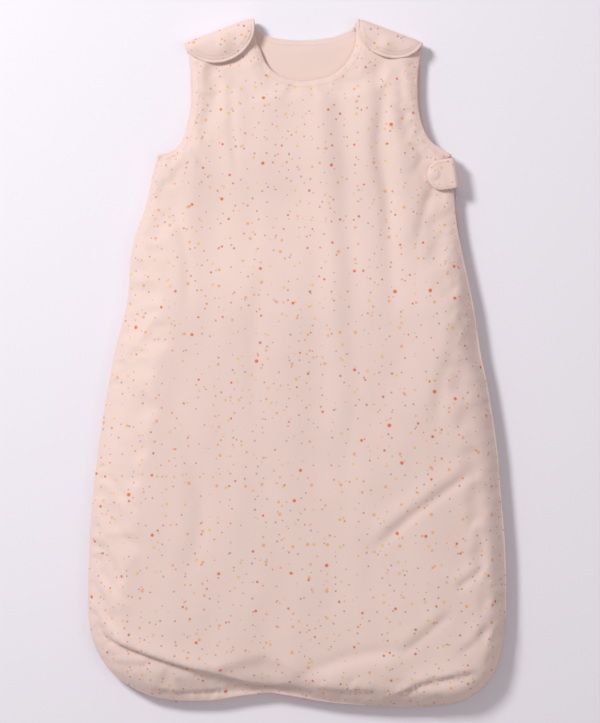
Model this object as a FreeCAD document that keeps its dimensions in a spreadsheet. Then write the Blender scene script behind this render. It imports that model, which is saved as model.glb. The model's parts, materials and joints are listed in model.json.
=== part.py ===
"""Baby sleeping bag, lying on its back: two quilted panels joined by a side seam and a
side-and-hem zip, with two shoulder flaps and an underarm tab that close on ring snaps.

Frame: X across the bag, Y towards the head, Z up from the floor. The origin is at the
middle of the bag's footprint, on the floor. Lengths are in millimetres.
"""
import FreeCAD, Part
import math
import os
import types

import Sketcher

V = FreeCAD.Vector
doc = FreeCAD.newDocument("baby_sleeping_bag")
sheet = doc.addObject("Spreadsheet::Sheet", "Sizes")

DRIVING_SIZES = {
    # Plan of the bag
    "bag_length": 700.0,
    "hem_width": 418.0,
    "hem_corner": 88.0,
    "hip_width": 396.0,
    "hip_rise": 288.0,
    "chest_width": 297.0,
    "underarm_fall": 141.0,
    "upper_shift": 8.0,
    "armhole_width": 229.0,
    "armhole_round": 33.0,
    "front_neck_fall": 66.0,
    "back_neck_fall": 23.0,
    # Heights and layers
    "belly_height": 42.0,
    "rim_round": 17.0,
    "back_rim_round": 5.0,
    "slope_low_fall": 149.0,
    "slope_high_fall": 44.0,
    "strap_drop": 8.2,
    "zip_gap": 8.0,
    "fabric": 1.2,
    "wadding": 4.0,
    "ply_gap": 0.3,
    # Shoulder straps and their flaps
    "strap_spread": 176.0,
    "strap_fall": 13.0,
    "strap_turn": 20.5,
    "strap_width": 70.0,
    "flap_width": 73.0,
    "flap_reach": 29.5,
    "flap_floor": 17.0,
    "flap_fabric": 1.0,
    "flap_wadding": 2.0,
    "strap_end_setback": 8.0,
    "fold_gap": 0.3,
    # Bound edges
    "binding_width": 3.2,
    "binding_proud": 0.4,
    "flap_binding_width": 2.6,
    "binding_gap": 0.3,
    # Underarm tab
    "tab_length": 27.0,
    "tab_width": 31.0,
    "tab_corner": 11.0,
    "tab_floor": 23.0,
    "tab_top_inset": 1.5,
    "tab_fold_gap": 0.5,
    "tab_fold_foot": 1.0,
    # Zip
    "chain_inset": 3.5,
    "tape_thick": 0.7,
    "bead_thick": 1.4,
    "bead_height": 0.8,
    "tooth_pitch": 8.0,
    "tooth_length": 3.4,
    "tooth_reach": 1.9,
    "zip_top_setback": 12.0,
    "stop_length": 3.0,
    "stop_thick": 1.8,
    "slider_length": 10.0,
    "slider_height": 7.2,
    "slider_thick": 4.2,
    "slider_wall": 0.8,
    "slider_post": 1.6,
    "slider_setback": 16.0,
    "slot_width": 1.3,
    "lug_height": 2.6,
    "lug_length": 3.0,
    "lug_proud": 1.9,
    "pull_pin_radius": 0.5,
    "pull_head": 0.5,
    "pull_shoulder": 5.0,
    "pull_waist": 8.0,
    "pull_eye": 3.4,
    "pull_length": 24.0,
    "pull_width": 6.0,
    "pull_neck": 2.4,
    "pull_thick": 1.1,
    "seam_thick": 2.0,
    # Ring snaps
    "snap_radius": 4.7,
    "snap_hole_radius": 4.3,
    "snap_seat_radius": 5.1,
    "snap_setback": 17.0,
    "snap_lift": 0.3,
    "stud_flange": 0.6,
    "stud_radius": 2.0,
    "stud_height": 1.8,
    "socket_height": 1.4,
    "socket_bore_radius": 2.25,
    "socket_gap": 0.1,
    "ring_bore_radius": 3.0,
    "ring_thick": 0.8,
    "prong_width": 0.7,
    "prong_circle_radius": 3.7,
    "prong_count": 5.0,
    "tab_snap_reach": 19.5,
}


class Size:
    """A length worked out from the sheet: the formula that binds it and its value now."""

    def __init__(self, formula, value):
        self.formula = formula
        self.value = value

    def __add__(self, other):
        other = as_size(other)
        return Size(f"({self.formula} + {other.formula})", self.value + other.value)

    def __sub__(self, other):
        other = as_size(other)
        return Size(f"({self.formula} - {other.formula})", self.value - other.value)

    def __mul__(self, other):
        other = as_size(other)
        return Size(f"({self.formula} * {other.formula})", self.value * other.value)

    def __truediv__(self, other):
        other = as_size(other)
        return Size(f"({self.formula} / {other.formula})", self.value / other.value)

    def __rsub__(self, other):
        return as_size(other) - self

    def __neg__(self):
        return self * -1

    __radd__ = __add__
    __rmul__ = __mul__


def as_size(number):
    """The number itself where it is already bound, or a plain number as a formula."""
    if isinstance(number, Size):
        return number
    return Size(f"({float(number)})", float(number))


def sine(angle):
    return Size(f"sin({angle.formula})", math.sin(math.radians(angle.value)))


def root(square):
    return Size(f"sqrt({square.formula})", math.sqrt(square.value))


def cosine(angle):
    return Size(f"cos({angle.formula})", math.cos(math.radians(angle.value)))


for row, (alias, number) in enumerate(DRIVING_SIZES.items(), start=1):
    sheet.set(f"A{row}", alias.replace("_", " "))
    sheet.set(f"B{row}", str(number))
    sheet.setAlias(f"B{row}", alias)
doc.recompute()
d = types.SimpleNamespace(**{
    alias: Size(f"Sizes.{alias}", float(sheet.get(alias))) for alias in DRIVING_SIZES
})

# Places worked out from the driving sizes
hem_y = d.bag_length * -0.5
hip_y = hem_y + d.hip_rise
top_y = d.bag_length * 0.5
underarm_y = top_y - d.underarm_fall
strap_y = top_y - d.strap_fall
panel = d.fabric * 2 + d.wadding + d.ply_gap * 2
front_floor = panel + d.zip_gap
chest_top = front_floor + panel
chain_z = panel + d.zip_gap / 2
flap_thick = d.flap_fabric * 2 + d.flap_wadding + d.ply_gap * 2
fold_radius = (d.flap_floor + flap_thick) / 2
fold_bore = fold_radius - flap_thick
tab_thick = d.fabric * 2 + d.ply_gap
tab_roof = d.tab_floor + tab_thick
side_turn = math.degrees(math.atan2(
    (d.hip_width.value - d.chest_width.value) / 2 - d.upper_shift.value,
    (underarm_y - hip_y).value,
))
BEYOND = 60.0
# A hidden face's bevel, as a share of the rounding that it stands for
BEVEL_SHARE = 0.8

subparts = []


def bind(item, name, size):
    item.setExpression(name, as_size(size).formula)


def finish(item, name):
    """Names a finished sub-part and keeps it for export."""
    item.Label = name
    subparts.append(item)
    return item


def origin_plane(body, role):
    return next(part for part in body.Origin.OriginFeatures if part.Role == role)


def draw(body, name, role, points, arcs=None, lift=0):
    """A closed sketch through bound points; arcs maps an edge to its middle and radius."""
    arcs = arcs or {}
    sketch = body.newObject("Sketcher::SketchObject", name)
    sketch.AttachmentSupport = [(origin_plane(body, role), "")]
    sketch.MapMode = "FlatFace"
    bind(sketch, "AttachmentOffset.Base.z", lift)
    corners = [(as_size(x), as_size(y)) for x, y in points]
    places = [V(x.value, y.value, 0) for x, y in corners]
    ends = []
    for index, place in enumerate(places):
        after = places[(index + 1) % len(places)]
        if index in arcs:
            middle, radius = arcs[index]
            middle = V(as_size(middle[0]).value, as_size(middle[1]).value, 0)
            # A sketch's arcs run anticlockwise, so a clockwise one is drawn from its end
            forward = (middle - place).cross(after - middle).z > 0
            first, last = (place, after) if forward else (after, place)
            sketch.addGeometry(Part.Arc(first, middle, last))
            ends.append((1, 2) if forward else (2, 1))
        else:
            sketch.addGeometry(Part.LineSegment(place, after))
            ends.append((1, 2))
    count = len(places)
    for index in range(count):
        after = (index + 1) % count
        sketch.addConstraint(Sketcher.Constraint(
            "Coincident", index, ends[index][1], after, ends[after][0]))
    for index, (x, y) in enumerate(corners):
        for kind, size in (("DistanceX", x), ("DistanceY", y)):
            number = sketch.addConstraint(Sketcher.Constraint(
                kind, -1, 1, index, ends[index][0], size.value))
            sketch.setExpression(f"Constraints[{number}]", size.formula)
    for index, (middle, radius) in arcs.items():
        radius = as_size(radius)
        number = sketch.addConstraint(Sketcher.Constraint("Radius", index, radius.value))
        sketch.setExpression(f"Constraints[{number}]", radius.formula)
    return sketch


def draw_circle(body, name, role, x, y, radius, lift=0):
    sketch = body.newObject("Sketcher::SketchObject", name)
    sketch.AttachmentSupport = [(origin_plane(body, role), "")]
    sketch.MapMode = "FlatFace"
    bind(sketch, "AttachmentOffset.Base.z", lift)
    x, y, radius = as_size(x), as_size(y), as_size(radius)
    sketch.addGeometry(Part.Circle(V(x.value, y.value, 0), V(0, 0, 1), radius.value))
    for kind, size in (("DistanceX", x), ("DistanceY", y)):
        number = sketch.addConstraint(Sketcher.Constraint(kind, -1, 1, 0, 3, size.value))
        sketch.setExpression(f"Constraints[{number}]", size.formula)
    number = sketch.addConstraint(Sketcher.Constraint("Radius", 0, radius.value))
    sketch.setExpression(f"Constraints[{number}]", radius.formula)
    return sketch


def pad(body, sketch, length, both_ways=False):
    feature = body.newObject("PartDesign::Pad", sketch.Name + "_pad")
    feature.Profile = sketch
    feature.SideType = "Symmetric" if both_ways else "One side"
    bind(feature, "Length", length)
    return feature


def revolve(body, sketch, axis_role="Z_Axis"):
    feature = body.newObject("PartDesign::Revolution", sketch.Name + "_turn")
    feature.Profile = sketch
    feature.ReferenceAxis = (origin_plane(body, axis_role), [""])
    feature.Angle = 360
    return feature


def new_body(name):
    return doc.addObject("PartDesign::Body", name)


def combine(kind, name, base, tool):
    item = doc.addObject(kind, name)
    item.Base = base
    item.Tool = tool
    return item


def cut(name, base, tool):
    return combine("Part::Cut", name, base, tool)


def common(name, base, tool):
    return combine("Part::Common", name, base, tool)


def fuse(name, base, tool):
    return combine("Part::Fuse", name, base, tool)


def box(name, low, high):
    item = doc.addObject("Part::Box", name)
    for side, axis, start, end in zip(("Length", "Width", "Height"), "xyz", low, high):
        bind(item, side, as_size(end) - start)
        bind(item, f"Placement.Base.{axis}", start)
    return item


def cylinder(name, radius, x, y, low, high):
    item = doc.addObject("Part::Cylinder", name)
    bind(item, "Radius", radius)
    bind(item, "Height", as_size(high) - low)
    for axis, place in zip("xyz", (x, y, low)):
        bind(item, f"Placement.Base.{axis}", place)
    return item


def stand(item, x, y, z, turn=0.0):
    """Places a sub-part made about its own origin, turned about Z."""
    item.Placement = FreeCAD.Placement(V(0, 0, 0), FreeCAD.Rotation(V(0, 0, 1), turn))
    for axis, place in zip("xyz", (x, y, z)):
        bind(item, f"Placement.Base.{axis}", place)
    return item


# The panels' outline, and slabs and rings cut to it

def side_bend(side):
    """The long bend that leads the hem's upright side into the sloping one above it.

    Returns the height where it starts, its radius and, to draw it by, its middle's
    distance in from the upright side and up from the start.
    """
    run = (d.hip_width - d.chest_width) / 2 - d.upper_shift * side
    rise = underarm_y - hip_y
    slope = root(run * run + rise * rise)
    spread = (d.hem_width - d.hip_width) / 2
    drop = spread * run / (slope - rise)
    radius = drop * slope / run
    half_turn = math.atan2(run.value, rise.value) / 2
    middle_in = radius.value * (1 - math.cos(half_turn))
    middle_up = radius.value * math.sin(half_turn)
    return hip_y - drop, radius, middle_in, middle_up


def bag_outline(inset, end_y):
    """Hem, round hem corners and tapering sides, drawn inset, up to a straight top end."""
    hem, hip = d.hem_width / 2 - inset, d.hip_width / 2 - inset
    chest = d.chest_width / 2 - inset
    corner = d.hem_corner - inset
    floor_y = hem_y + inset
    bow = corner * (1 - math.sqrt(0.5))
    right, left = d.upper_shift + chest, d.upper_shift - chest
    right_low, right_radius, right_in, right_up = side_bend(1)
    left_low, left_radius, left_in, left_up = side_bend(-1)
    points = [
        (corner - hem, floor_y), (hem - corner, floor_y), (hem, floor_y + corner),
        (hem, right_low), (hip, hip_y), (right, underarm_y), (left, underarm_y),
        (-hip, hip_y), (-hem, left_low), (-hem, floor_y + corner),
    ]
    if end_y is not underarm_y:
        points[6:6] = [(right, end_y), (left, end_y)]
    last = len(points) - 1
    arcs = {
        1: ((hem - bow, floor_y + bow), corner),
        3: ((hem - right_in, right_low + right_up), right_radius),
        last - 2: ((left_in - hem, left_low + left_up), left_radius),
        last: ((bow - hem, floor_y + bow), corner),
    }
    return points, arcs


def slab(name, inset, low, high, end_y=top_y + BEYOND, rim=None):
    """The outline as a slab from low to high, with its sides and hem eased on one face.

    rim is the feature that eases it, the height of the face and the size: outer faces
    are rounded and hidden ones are bevelled.
    """
    body = new_body(name)
    points, arcs = bag_outline(inset, end_y)
    feature = pad(body, draw(body, name + "_plan", "XY_Plane", points, arcs, low),
                  as_size(high) - low)
    if rim is not None:
        kind, level, size = rim
        doc.recompute()
        edges = []
        for number, edge in enumerate(feature.Shape.Edges, start=1):
            reach = edge.BoundBox
            height = as_size(level).value
            flat = abs(reach.ZMin - height) < 1e-4 and abs(reach.ZMax - height) < 1e-4
            if flat and reach.YMin < as_size(end_y).value - 1e-4:
                edges.append(f"Edge{number}")
        eased = body.newObject("PartDesign::" + kind, name + "_rim")
        eased.Base = (feature, edges)
        bind(eased, "Radius" if kind == "Fillet" else "Size", size)
    return body


def ring(name, outside, inside, low, high):
    """A strip of the bag's outline, standing on edge between two insets."""
    outer = slab(name + "_outer", outside, low, high)
    inner = slab(name + "_inner", inside, low - 1, as_size(high) + 1)
    return cut(name, outer, inner)


def upper_plan(name, neck_fall, setback):
    """Everything inside the neckline, armholes and shoulder ends, as one tall prism."""
    end_u = d.strap_width / 2 * cosine(d.strap_turn)
    drop_u = d.strap_width / 2 * sine(d.strap_turn)
    end_x = d.strap_spread / 2 - setback * sine(d.strap_turn)
    end_y = strap_y - setback * cosine(d.strap_turn)
    neck, shoulder = end_x - end_u, end_x + end_u
    depth = end_y + drop_u - (top_y - neck_fall)
    neck_radius = (neck * neck + depth * depth) / (depth * 2)
    scye = d.armhole_width / 2
    bow = d.armhole_round * (1 - math.sqrt(0.5))
    outside = d.hem_width / 2 + BEYOND
    shift = d.upper_shift
    points = [
        (-outside, hem_y - BEYOND), (outside, hem_y - BEYOND), (outside, underarm_y),
        (shift + scye + d.armhole_round, underarm_y),
        (shift + scye, underarm_y + d.armhole_round),
        (shift + shoulder, end_y - drop_u), (shift + neck, end_y + drop_u),
        (shift - neck, end_y + drop_u), (shift - shoulder, end_y - drop_u),
        (shift - scye, underarm_y + d.armhole_round),
        (shift - scye - d.armhole_round, underarm_y), (-outside, underarm_y),
    ]
    arcs = {
        3: ((shift + scye + bow, underarm_y + bow), d.armhole_round),
        6: ((shift, top_y - neck_fall), neck_radius),
        9: ((shift - scye - bow, underarm_y + bow), d.armhole_round),
    }
    body = new_body(name)
    pad(body, draw(body, name + "_plan", "XY_Plane", points, arcs, -1), d.belly_height + 2)
    return body


# Front panel: a low dome from the hem to the chest, then straps that slope to the shoulders

def roof_cutter(name, depth):
    """What lies above the front panel's slope from the belly up to the chest."""
    slope_low, slope_high = underarm_y - d.slope_low_fall, underarm_y - d.slope_high_fall
    far, over = top_y + BEYOND, d.belly_height + 1
    points = [
        (slope_low, over), (slope_low, d.belly_height - depth),
        (slope_high, chest_top - depth), (far, chest_top - depth), (far, over),
    ]
    body = new_body(name)
    pad(body, draw(body, name + "_side", "YZ_Plane", points), d.hem_width + BEYOND, True)
    return body


def front_dome(name, depth, foot, end_y):
    """The front's rounded volume, a given depth below its outer face."""
    roof = d.belly_height - depth
    outermost = as_size(depth).value == 0
    rim = (("Fillet", roof, d.rim_round) if outermost
           else ("Chamfer", roof, (d.rim_round - depth) * BEVEL_SHARE))
    volume = slab(name + "_slab", depth, foot, roof, end_y, rim)
    return cut(name, volume, roof_cutter(name + "_roof", depth))


def strap_z(y, depth):
    """Height of the sloping upper front, a given depth below its outer face."""
    share = (as_size(y) - underarm_y) / (top_y - underarm_y)
    return chest_top - depth - d.strap_drop * share


def front_layer(name, outside, inside, plan):
    """One ply of the front panel: dome wall, upper front and straps in one sheet."""
    outer = front_dome(name + "_over", outside, front_floor, underarm_y)
    inner = front_dome(name + "_under", inside, front_floor - 1, underarm_y + 1)
    dome = cut(name + "_dome", outer, inner)
    upper = new_body(name + "_upper")
    points = [
        (underarm_y, chest_top - inside), (top_y, strap_z(top_y, inside)),
        (top_y, strap_z(top_y, outside)), (underarm_y, chest_top - outside),
    ]
    pad(upper, draw(upper, name + "_upper_side", "YZ_Plane", points),
        d.chest_width - outside * 2, True)
    bind(upper, "Placement.Base.x", d.upper_shift)
    return common(name + "_cut", fuse(name + "_whole", dome, upper), plan)


def snap_spots():
    """World places of the two shoulder snaps, left then right."""
    reach = d.snap_setback
    spots = []
    for side in (-1, 1):
        x = d.upper_shift + side * (d.strap_spread / 2 - reach * sine(d.strap_turn))
        spots.append((x, strap_y - reach * cosine(d.strap_turn)))
    return spots


def side_place(along, out=0):
    """World place of a point along the right side, from the underarm towards the hem."""
    turn = as_size(side_turn)
    x = d.upper_shift + d.chest_width / 2 + along * sine(turn) + out * cosine(turn)
    y = underarm_y - along * cosine(turn) + out * sine(turn)
    return x, y


tab_middle = d.tab_top_inset + d.tab_width / 2


def punch(name, item, radius):
    """Three snap holes through a ply of the front panel."""
    spots = snap_spots() + [side_place(tab_middle, -d.tab_snap_reach)]
    for index, (x, y) in enumerate(spots):
        drill = cylinder(f"{name}_drill{index}", radius, x, y, panel, d.belly_height)
        item = cut(f"{name}_punched{index}", item, drill)
    return item


plies = {
    "shell": (as_size(0), d.fabric),
    "wadding": (d.fabric + d.ply_gap, d.fabric + d.ply_gap + d.wadding),
    "lining": (panel - d.fabric, panel),
}


def build_front():
    plan = upper_plan("front_cutout", d.front_neck_fall, d.strap_end_setback)
    for ply, (outside, inside) in plies.items():
        layer = front_layer("front_" + ply, outside, inside, plan)
        radius = d.snap_seat_radius if ply == "lining" else d.snap_hole_radius
        finish(punch("front_" + ply, layer, radius), "front_" + ply)


def build_back():
    """The back panel: a shallow tray of fabric that holds flat wadding under a lining."""
    plan = upper_plan("back_cutout", d.back_neck_fall, fold_radius + d.fold_gap)
    tray = slab("back_tray", 0, 0, panel, rim=("Fillet", 0, d.back_rim_round))
    bevel = (d.back_rim_round - d.fabric) * BEVEL_SHARE
    hollow = slab("back_hollow", d.fabric, d.fabric, panel + 1,
                  rim=("Chamfer", d.fabric, bevel))
    finish(common("back_shell_cut", cut("back_shell_tray", tray, hollow), plan), "back_shell")
    depth = d.fabric + d.ply_gap
    wad = slab("back_wad", depth, depth, depth + d.wadding, rim=("Chamfer", depth, bevel))
    finish(common("back_wadding_cut", wad, plan), "back_wadding")
    sheet_slab = slab("back_sheet", depth, panel - d.fabric, panel)
    finish(common("back_lining_cut", sheet_slab, plan), "back_lining")


# Bound edges

upper_tilt = math.degrees(math.atan2(d.strap_drop.value, (top_y - underarm_y).value))


def lay_on_upper_front(item):
    """Tilts a strip drawn at the underarm line so that it follows the sloping front."""
    item.Placement = FreeCAD.Placement(V(0, 0, 0), FreeCAD.Rotation(V(1, 0, 0), -upper_tilt))
    bind(item, "Placement.Base.x", d.upper_shift)
    bind(item, "Placement.Base.y", underarm_y)
    bind(item, "Placement.Base.z", front_floor)
    return item


def neck_binding(name, neck_fall, setback, low, high):
    """A strip along the inside of a round neckline, drawn from the underarm line."""
    end_u = d.strap_width / 2 * cosine(d.strap_turn)
    neck = d.strap_spread / 2 - setback * sine(d.strap_turn) - end_u
    end_y = strap_y - setback * cosine(d.strap_turn) + d.strap_width / 2 * sine(d.strap_turn)
    end_y = end_y - underarm_y
    bottom = top_y - neck_fall - underarm_y
    depth = end_y - bottom
    radius = (neck * neck + depth * depth) / (depth * 2)
    centre = bottom + radius
    outer, inner = radius - d.binding_gap, radius - d.binding_gap - d.binding_width
    body = new_body(name)
    disc = draw_circle(body, name + "_edge", "XY_Plane", 0, centre, outer, low)
    pad(body, disc, as_size(high) - low)
    hole = draw_circle(body, name + "_hole", "XY_Plane", 0, centre, inner, low)
    pocket = body.newObject("PartDesign::Pocket", name + "_cut")
    pocket.Profile = hole
    pocket.Reversed = True
    bind(pocket, "Length", as_size(high) - low)
    reach = radius + d.binding_width
    above = box(name + "_above", (-reach, end_y, as_size(low) - 1),
                (reach, end_y + reach * 2, as_size(high) + 1))
    return cut(name + "_strip", body, above)


def armhole_binding(name, side, setback, low, high):
    """A strip along an armhole edge, from the strap end down and out to the underarm."""
    end_u = d.strap_width / 2 * cosine(d.strap_turn)
    drop_u = d.strap_width / 2 * sine(d.strap_turn)
    end_x = d.strap_spread / 2 - setback * sine(d.strap_turn) + end_u
    end_y = strap_y - setback * cosine(d.strap_turn) - drop_u - underarm_y
    scye, corner = d.armhole_width / 2, d.armhole_round
    near, far = d.binding_gap, d.binding_gap + d.binding_width
    out_x = d.chest_width / 2
    slack = 1 - math.sqrt(0.5)
    near_bow, far_bow = (corner - near) * slack, (corner - far) * slack
    right = [
        (out_x, near), (scye + corner, near), (scye + near, corner),
        (end_x + near, end_y), (end_x + far, end_y), (scye + far, corner),
        (scye + corner, far), (out_x, far),
    ]
    middles = {
        1: ((scye + near + near_bow, near + near_bow), corner - near),
        5: ((scye + far + far_bow, far + far_bow), corner - far),
    }
    points = [(side * x, y) for x, y in right]
    arcs = {edge: ((side * x, y), radius) for edge, ((x, y), radius) in middles.items()}
    body = new_body(name)
    pad(body, draw(body, name + "_plan", "XY_Plane", points, arcs, low), as_size(high) - low)
    return body


def build_bindings():
    low, high = -d.binding_proud, panel + d.binding_proud
    front_setback, back_setback = d.strap_end_setback, fold_radius + d.fold_gap
    front_neck = neck_binding("front_neck", d.front_neck_fall, front_setback, low, high)
    finish(lay_on_upper_front(front_neck), "front_neck_binding")
    back_neck = neck_binding("back_neck", d.back_neck_fall, back_setback,
                             d.binding_proud, panel)
    finish(stand(back_neck, d.upper_shift, underarm_y, 0), "back_neck_binding")
    strips = {}
    for side, word in ((-1, "left"), (1, "right")):
        front = armhole_binding(word + "_front_scye", side, front_setback, low, high)
        back = armhole_binding(word + "_back_scye", side, back_setback, d.binding_proud, panel)
        strips[word] = (lay_on_upper_front(front), stand(back, d.upper_shift, underarm_y, 0))
    finish(strips["right"][0], "right_front_armhole_binding")
    finish(strips["right"][1], "right_back_armhole_binding")
    edge_x = d.upper_shift - d.chest_width / 2
    turn_up = box("left_scye_turn",
                  (edge_x, underarm_y + d.binding_gap, d.binding_proud),
                  (edge_x + d.binding_width, underarm_y + d.binding_gap + d.binding_width,
                   chest_top))
    both = fuse("left_scye_pair", strips["left"][0], strips["left"][1])
    finish(fuse("left_scye_loop", both, turn_up), "left_armhole_binding")


# Left side seam and the zip

seam_end_x = (d.hem_width / 2 - d.hem_corner) * -1


def build_side_seam():
    outside = d.chain_inset - d.seam_thick / 2
    strip = ring("seam_ring", outside, outside + d.seam_thick, panel, front_floor)
    keep = box("seam_reach", (-d.hem_width, hem_y, panel - 1),
               (seam_end_x - d.stop_length, underarm_y, front_floor + 1))
    finish(common("seam_strip", strip, keep), "left_side_seam")


def zip_reach(name, low, high):
    """The stretch that the zip takes: the hem, the right hem corner and the right side."""
    end_y = side_place(d.zip_top_setback)[1]
    return box(name, (seam_end_x, hem_y, as_size(low) - 1),
               (d.hem_width, end_y, as_size(high) + 1))


bead_low = chain_z - d.tooth_reach / 2 - d.bead_height


def build_tapes():
    for word, low, high in (("back", panel, bead_low),
                            ("front", chain_z * 2 - bead_low, front_floor)):
        outside = d.chain_inset - d.tape_thick / 2
        strip = ring(word + "_tape_ring", outside, outside + d.tape_thick, low, high)
        reach = zip_reach(word + "_tape_reach", low, high)
        finish(common(word + "_tape_strip", strip, reach), "zip_tape_" + word)


chain_end = d.slider_setback + d.slider_post + 0.5


def chain_path():
    """The zip's line round the bag, from the hem's left end up the right side."""
    inset = d.chain_inset.value
    hem, hip = d.hem_width.value / 2 - inset, d.hip_width.value / 2 - inset
    corner, floor_y = d.hem_corner.value - inset, hem_y.value + inset
    bow = corner * (1 - math.sqrt(0.5))
    bend_low, _, bend_in, bend_up = side_bend(1)
    end_x, end_y = (size.value for size in side_place(chain_end, -d.chain_inset))
    start = V(seam_end_x.value, floor_y, 0)
    corner_in, corner_out = V(hem - corner, floor_y, 0), V(hem, floor_y + corner, 0)
    low, hip_place = V(hem, bend_low.value, 0), V(hip, hip_y.value, 0)
    return Part.Wire([
        Part.LineSegment(start, corner_in).toShape(),
        Part.Arc(corner_in, V(hem - bow, floor_y + bow, 0), corner_out).toShape(),
        Part.LineSegment(corner_out, low).toShape(),
        Part.Arc(low, V(hem - bend_in, low.y + bend_up, 0), hip_place).toShape(),
        Part.LineSegment(hip_place, V(end_x, end_y, 0)).toShape(),
    ])


def places_along(path, start, pitch):
    """Points and headings along a wire, one each pitch."""
    travelled = 0.0
    wanted = start
    for edge in path.OrderedEdges:
        while wanted < travelled + edge.Length:
            parameter = edge.getParameterByLength(wanted - travelled)
            heading = edge.tangentAt(parameter)
            yield edge.valueAt(parameter), math.degrees(math.atan2(heading.y, heading.x))
            wanted += pitch
        travelled += edge.Length


def build_teeth():
    """Two rows of moulded teeth, each on its bead, half a pitch out of step."""
    half_bead = d.bead_thick.value / 2
    inset, reach = d.chain_inset.value, d.tooth_reach.value
    path = chain_path()
    for word, sign, start in (("back", 1, d.tooth_length.value),
                              ("front", -1, d.tooth_length.value + d.tooth_pitch.value / 2)):
        bead_top = chain_z.value - sign * reach / 2
        low = min(bead_top, bead_top - sign * d.bead_height.value)
        outer = slab(word + "_bead_outer", inset - half_bead, low, low + d.bead_height.value)
        inner = slab(word + "_bead_inner", inset + half_bead, low - 1,
                     low + d.bead_height.value + 1)
        doc.recompute()
        end_y = side_place(chain_end)[1].value
        reach_box = Part.makeBox(
            d.hem_width.value * 2, end_y - hem_y.value, d.bead_height.value,
            V(seam_end_x.value, hem_y.value, low))
        bead = outer.Shape.cut(inner.Shape).common(reach_box)
        teeth = []
        for place, heading in places_along(path, start, d.tooth_pitch.value):
            length, thick = d.tooth_length.value, d.bead_thick.value
            tooth = Part.makeBox(length, thick, reach, V(-length / 2, -thick / 2, 0))
            tooth.rotate(V(0, 0, 0), V(0, 0, 1), heading)
            tooth.translate(V(place.x, place.y, min(bead_top, bead_top + sign * reach)))
            teeth.append(tooth)
        row = doc.addObject("Part::Feature", word + "_teeth_row")
        row.Shape = bead.multiFuse(teeth).removeSplitter()
        row.Placement = FreeCAD.Placement()
        finish(row, "zip_teeth_" + word)


def build_stops():
    """A pair of top stops, one on each tape, and one bottom stop across both."""
    long, thick = d.stop_length, d.stop_thick
    rise = d.bead_height + 0.6
    pair = []
    for word, low in (("back", bead_low + 0.0), ("front", chain_z * 2 - bead_low - rise)):
        item = doc.addObject("Part::Box", word + "_top_stop")
        for name, size in (("Length", thick), ("Width", long), ("Height", rise)):
            bind(item, name, size)
        x, y = side_place(d.zip_top_setback + long, -(d.chain_inset + thick / 2))
        pair.append(stand(item, x, y, low, side_turn))
    finish(fuse("zip_top_pair", pair[0], pair[1]), "zip_top_stops")
    floor_y = hem_y + d.chain_inset - thick / 2
    end = box("zip_bottom_block", (seam_end_x - long + 0.2, floor_y, bead_low),
              (seam_end_x - 0.2, floor_y + thick, chain_z * 2 - bead_low))
    finish(end, "zip_bottom_stop")


def build_slider():
    """A closed channel round the chain, with lipped wings, a post and a lug for the pull."""
    half, wide = d.slider_thick / 2, d.slider_height / 2
    body = new_body("slider_form")
    shoulder, nose = d.slider_length * 0.4, d.slider_length * 0.25
    waist = wide - 0.9
    points = [
        (-waist, 0), (waist, 0), (waist, shoulder), (wide, shoulder + nose),
        (wide, d.slider_length), (-wide, d.slider_length), (-wide, shoulder + nose),
        (-waist, shoulder),
    ]
    # Drawn in the zip's own plane: across the chain, then along it
    plan = [(y, x) for x, y in points]
    pad(body, draw(body, "slider_plan", "YZ_Plane", plan, None, -half), d.slider_thick)
    lug_start = d.slider_length * 0.35
    lug_end = lug_start + d.lug_length
    side = [(half - 0.2, lug_start), (half + d.lug_proud, lug_start + 0.6),
            (half + d.lug_proud, lug_end - 0.6), (half - 0.2, lug_end)]
    pad(body, draw(body, "slider_lug", "XY_Plane", side, None, -d.lug_height / 2), d.lug_height)
    doc.recompute()
    inner_half, inner_wide = half - d.slider_wall, wide - d.slider_wall * 1.2
    slot = d.slot_width / 2
    channel = [
        (-inner_half, -inner_wide), (-slot, -inner_wide), (-slot, -wide - 1),
        (slot, -wide - 1), (slot, -inner_wide), (inner_half, -inner_wide),
        (inner_half, inner_wide), (slot, inner_wide), (slot, wide + 1),
        (-slot, wide + 1), (-slot, inner_wide), (-inner_half, inner_wide),
    ]
    tunnel_body = new_body("slider_tunnel")
    section = draw(tunnel_body, "slider_tunnel_section", "XZ_Plane", channel, None,
                   (d.slider_length + 1) * -1)
    pad(tunnel_body, section, d.slider_length + 2)
    hollow = cut("slider_hollow", body, tunnel_body)
    post = box("slider_post_block",
               (-inner_half - 0.2, d.slider_length - d.slider_post, d.slider_post * -0.5),
               (inner_half + 0.2, d.slider_length, d.slider_post * 0.5))
    whole = fuse("slider_whole", hollow, post)
    x, y = side_place(d.slider_setback + d.slider_length, -d.chain_inset)
    pin_x = half + d.lug_proud / 2
    pin_y = lug_start + d.lug_length / 2
    eye = cylinder("slider_eye", d.pull_pin_radius + 0.1, pin_x, pin_y, -d.lug_height,
                   d.lug_height)
    finish(stand(cut("slider_bored", whole, eye), x, y, chain_z, side_turn), "zip_slider")
    return pin_x, pin_y


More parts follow.
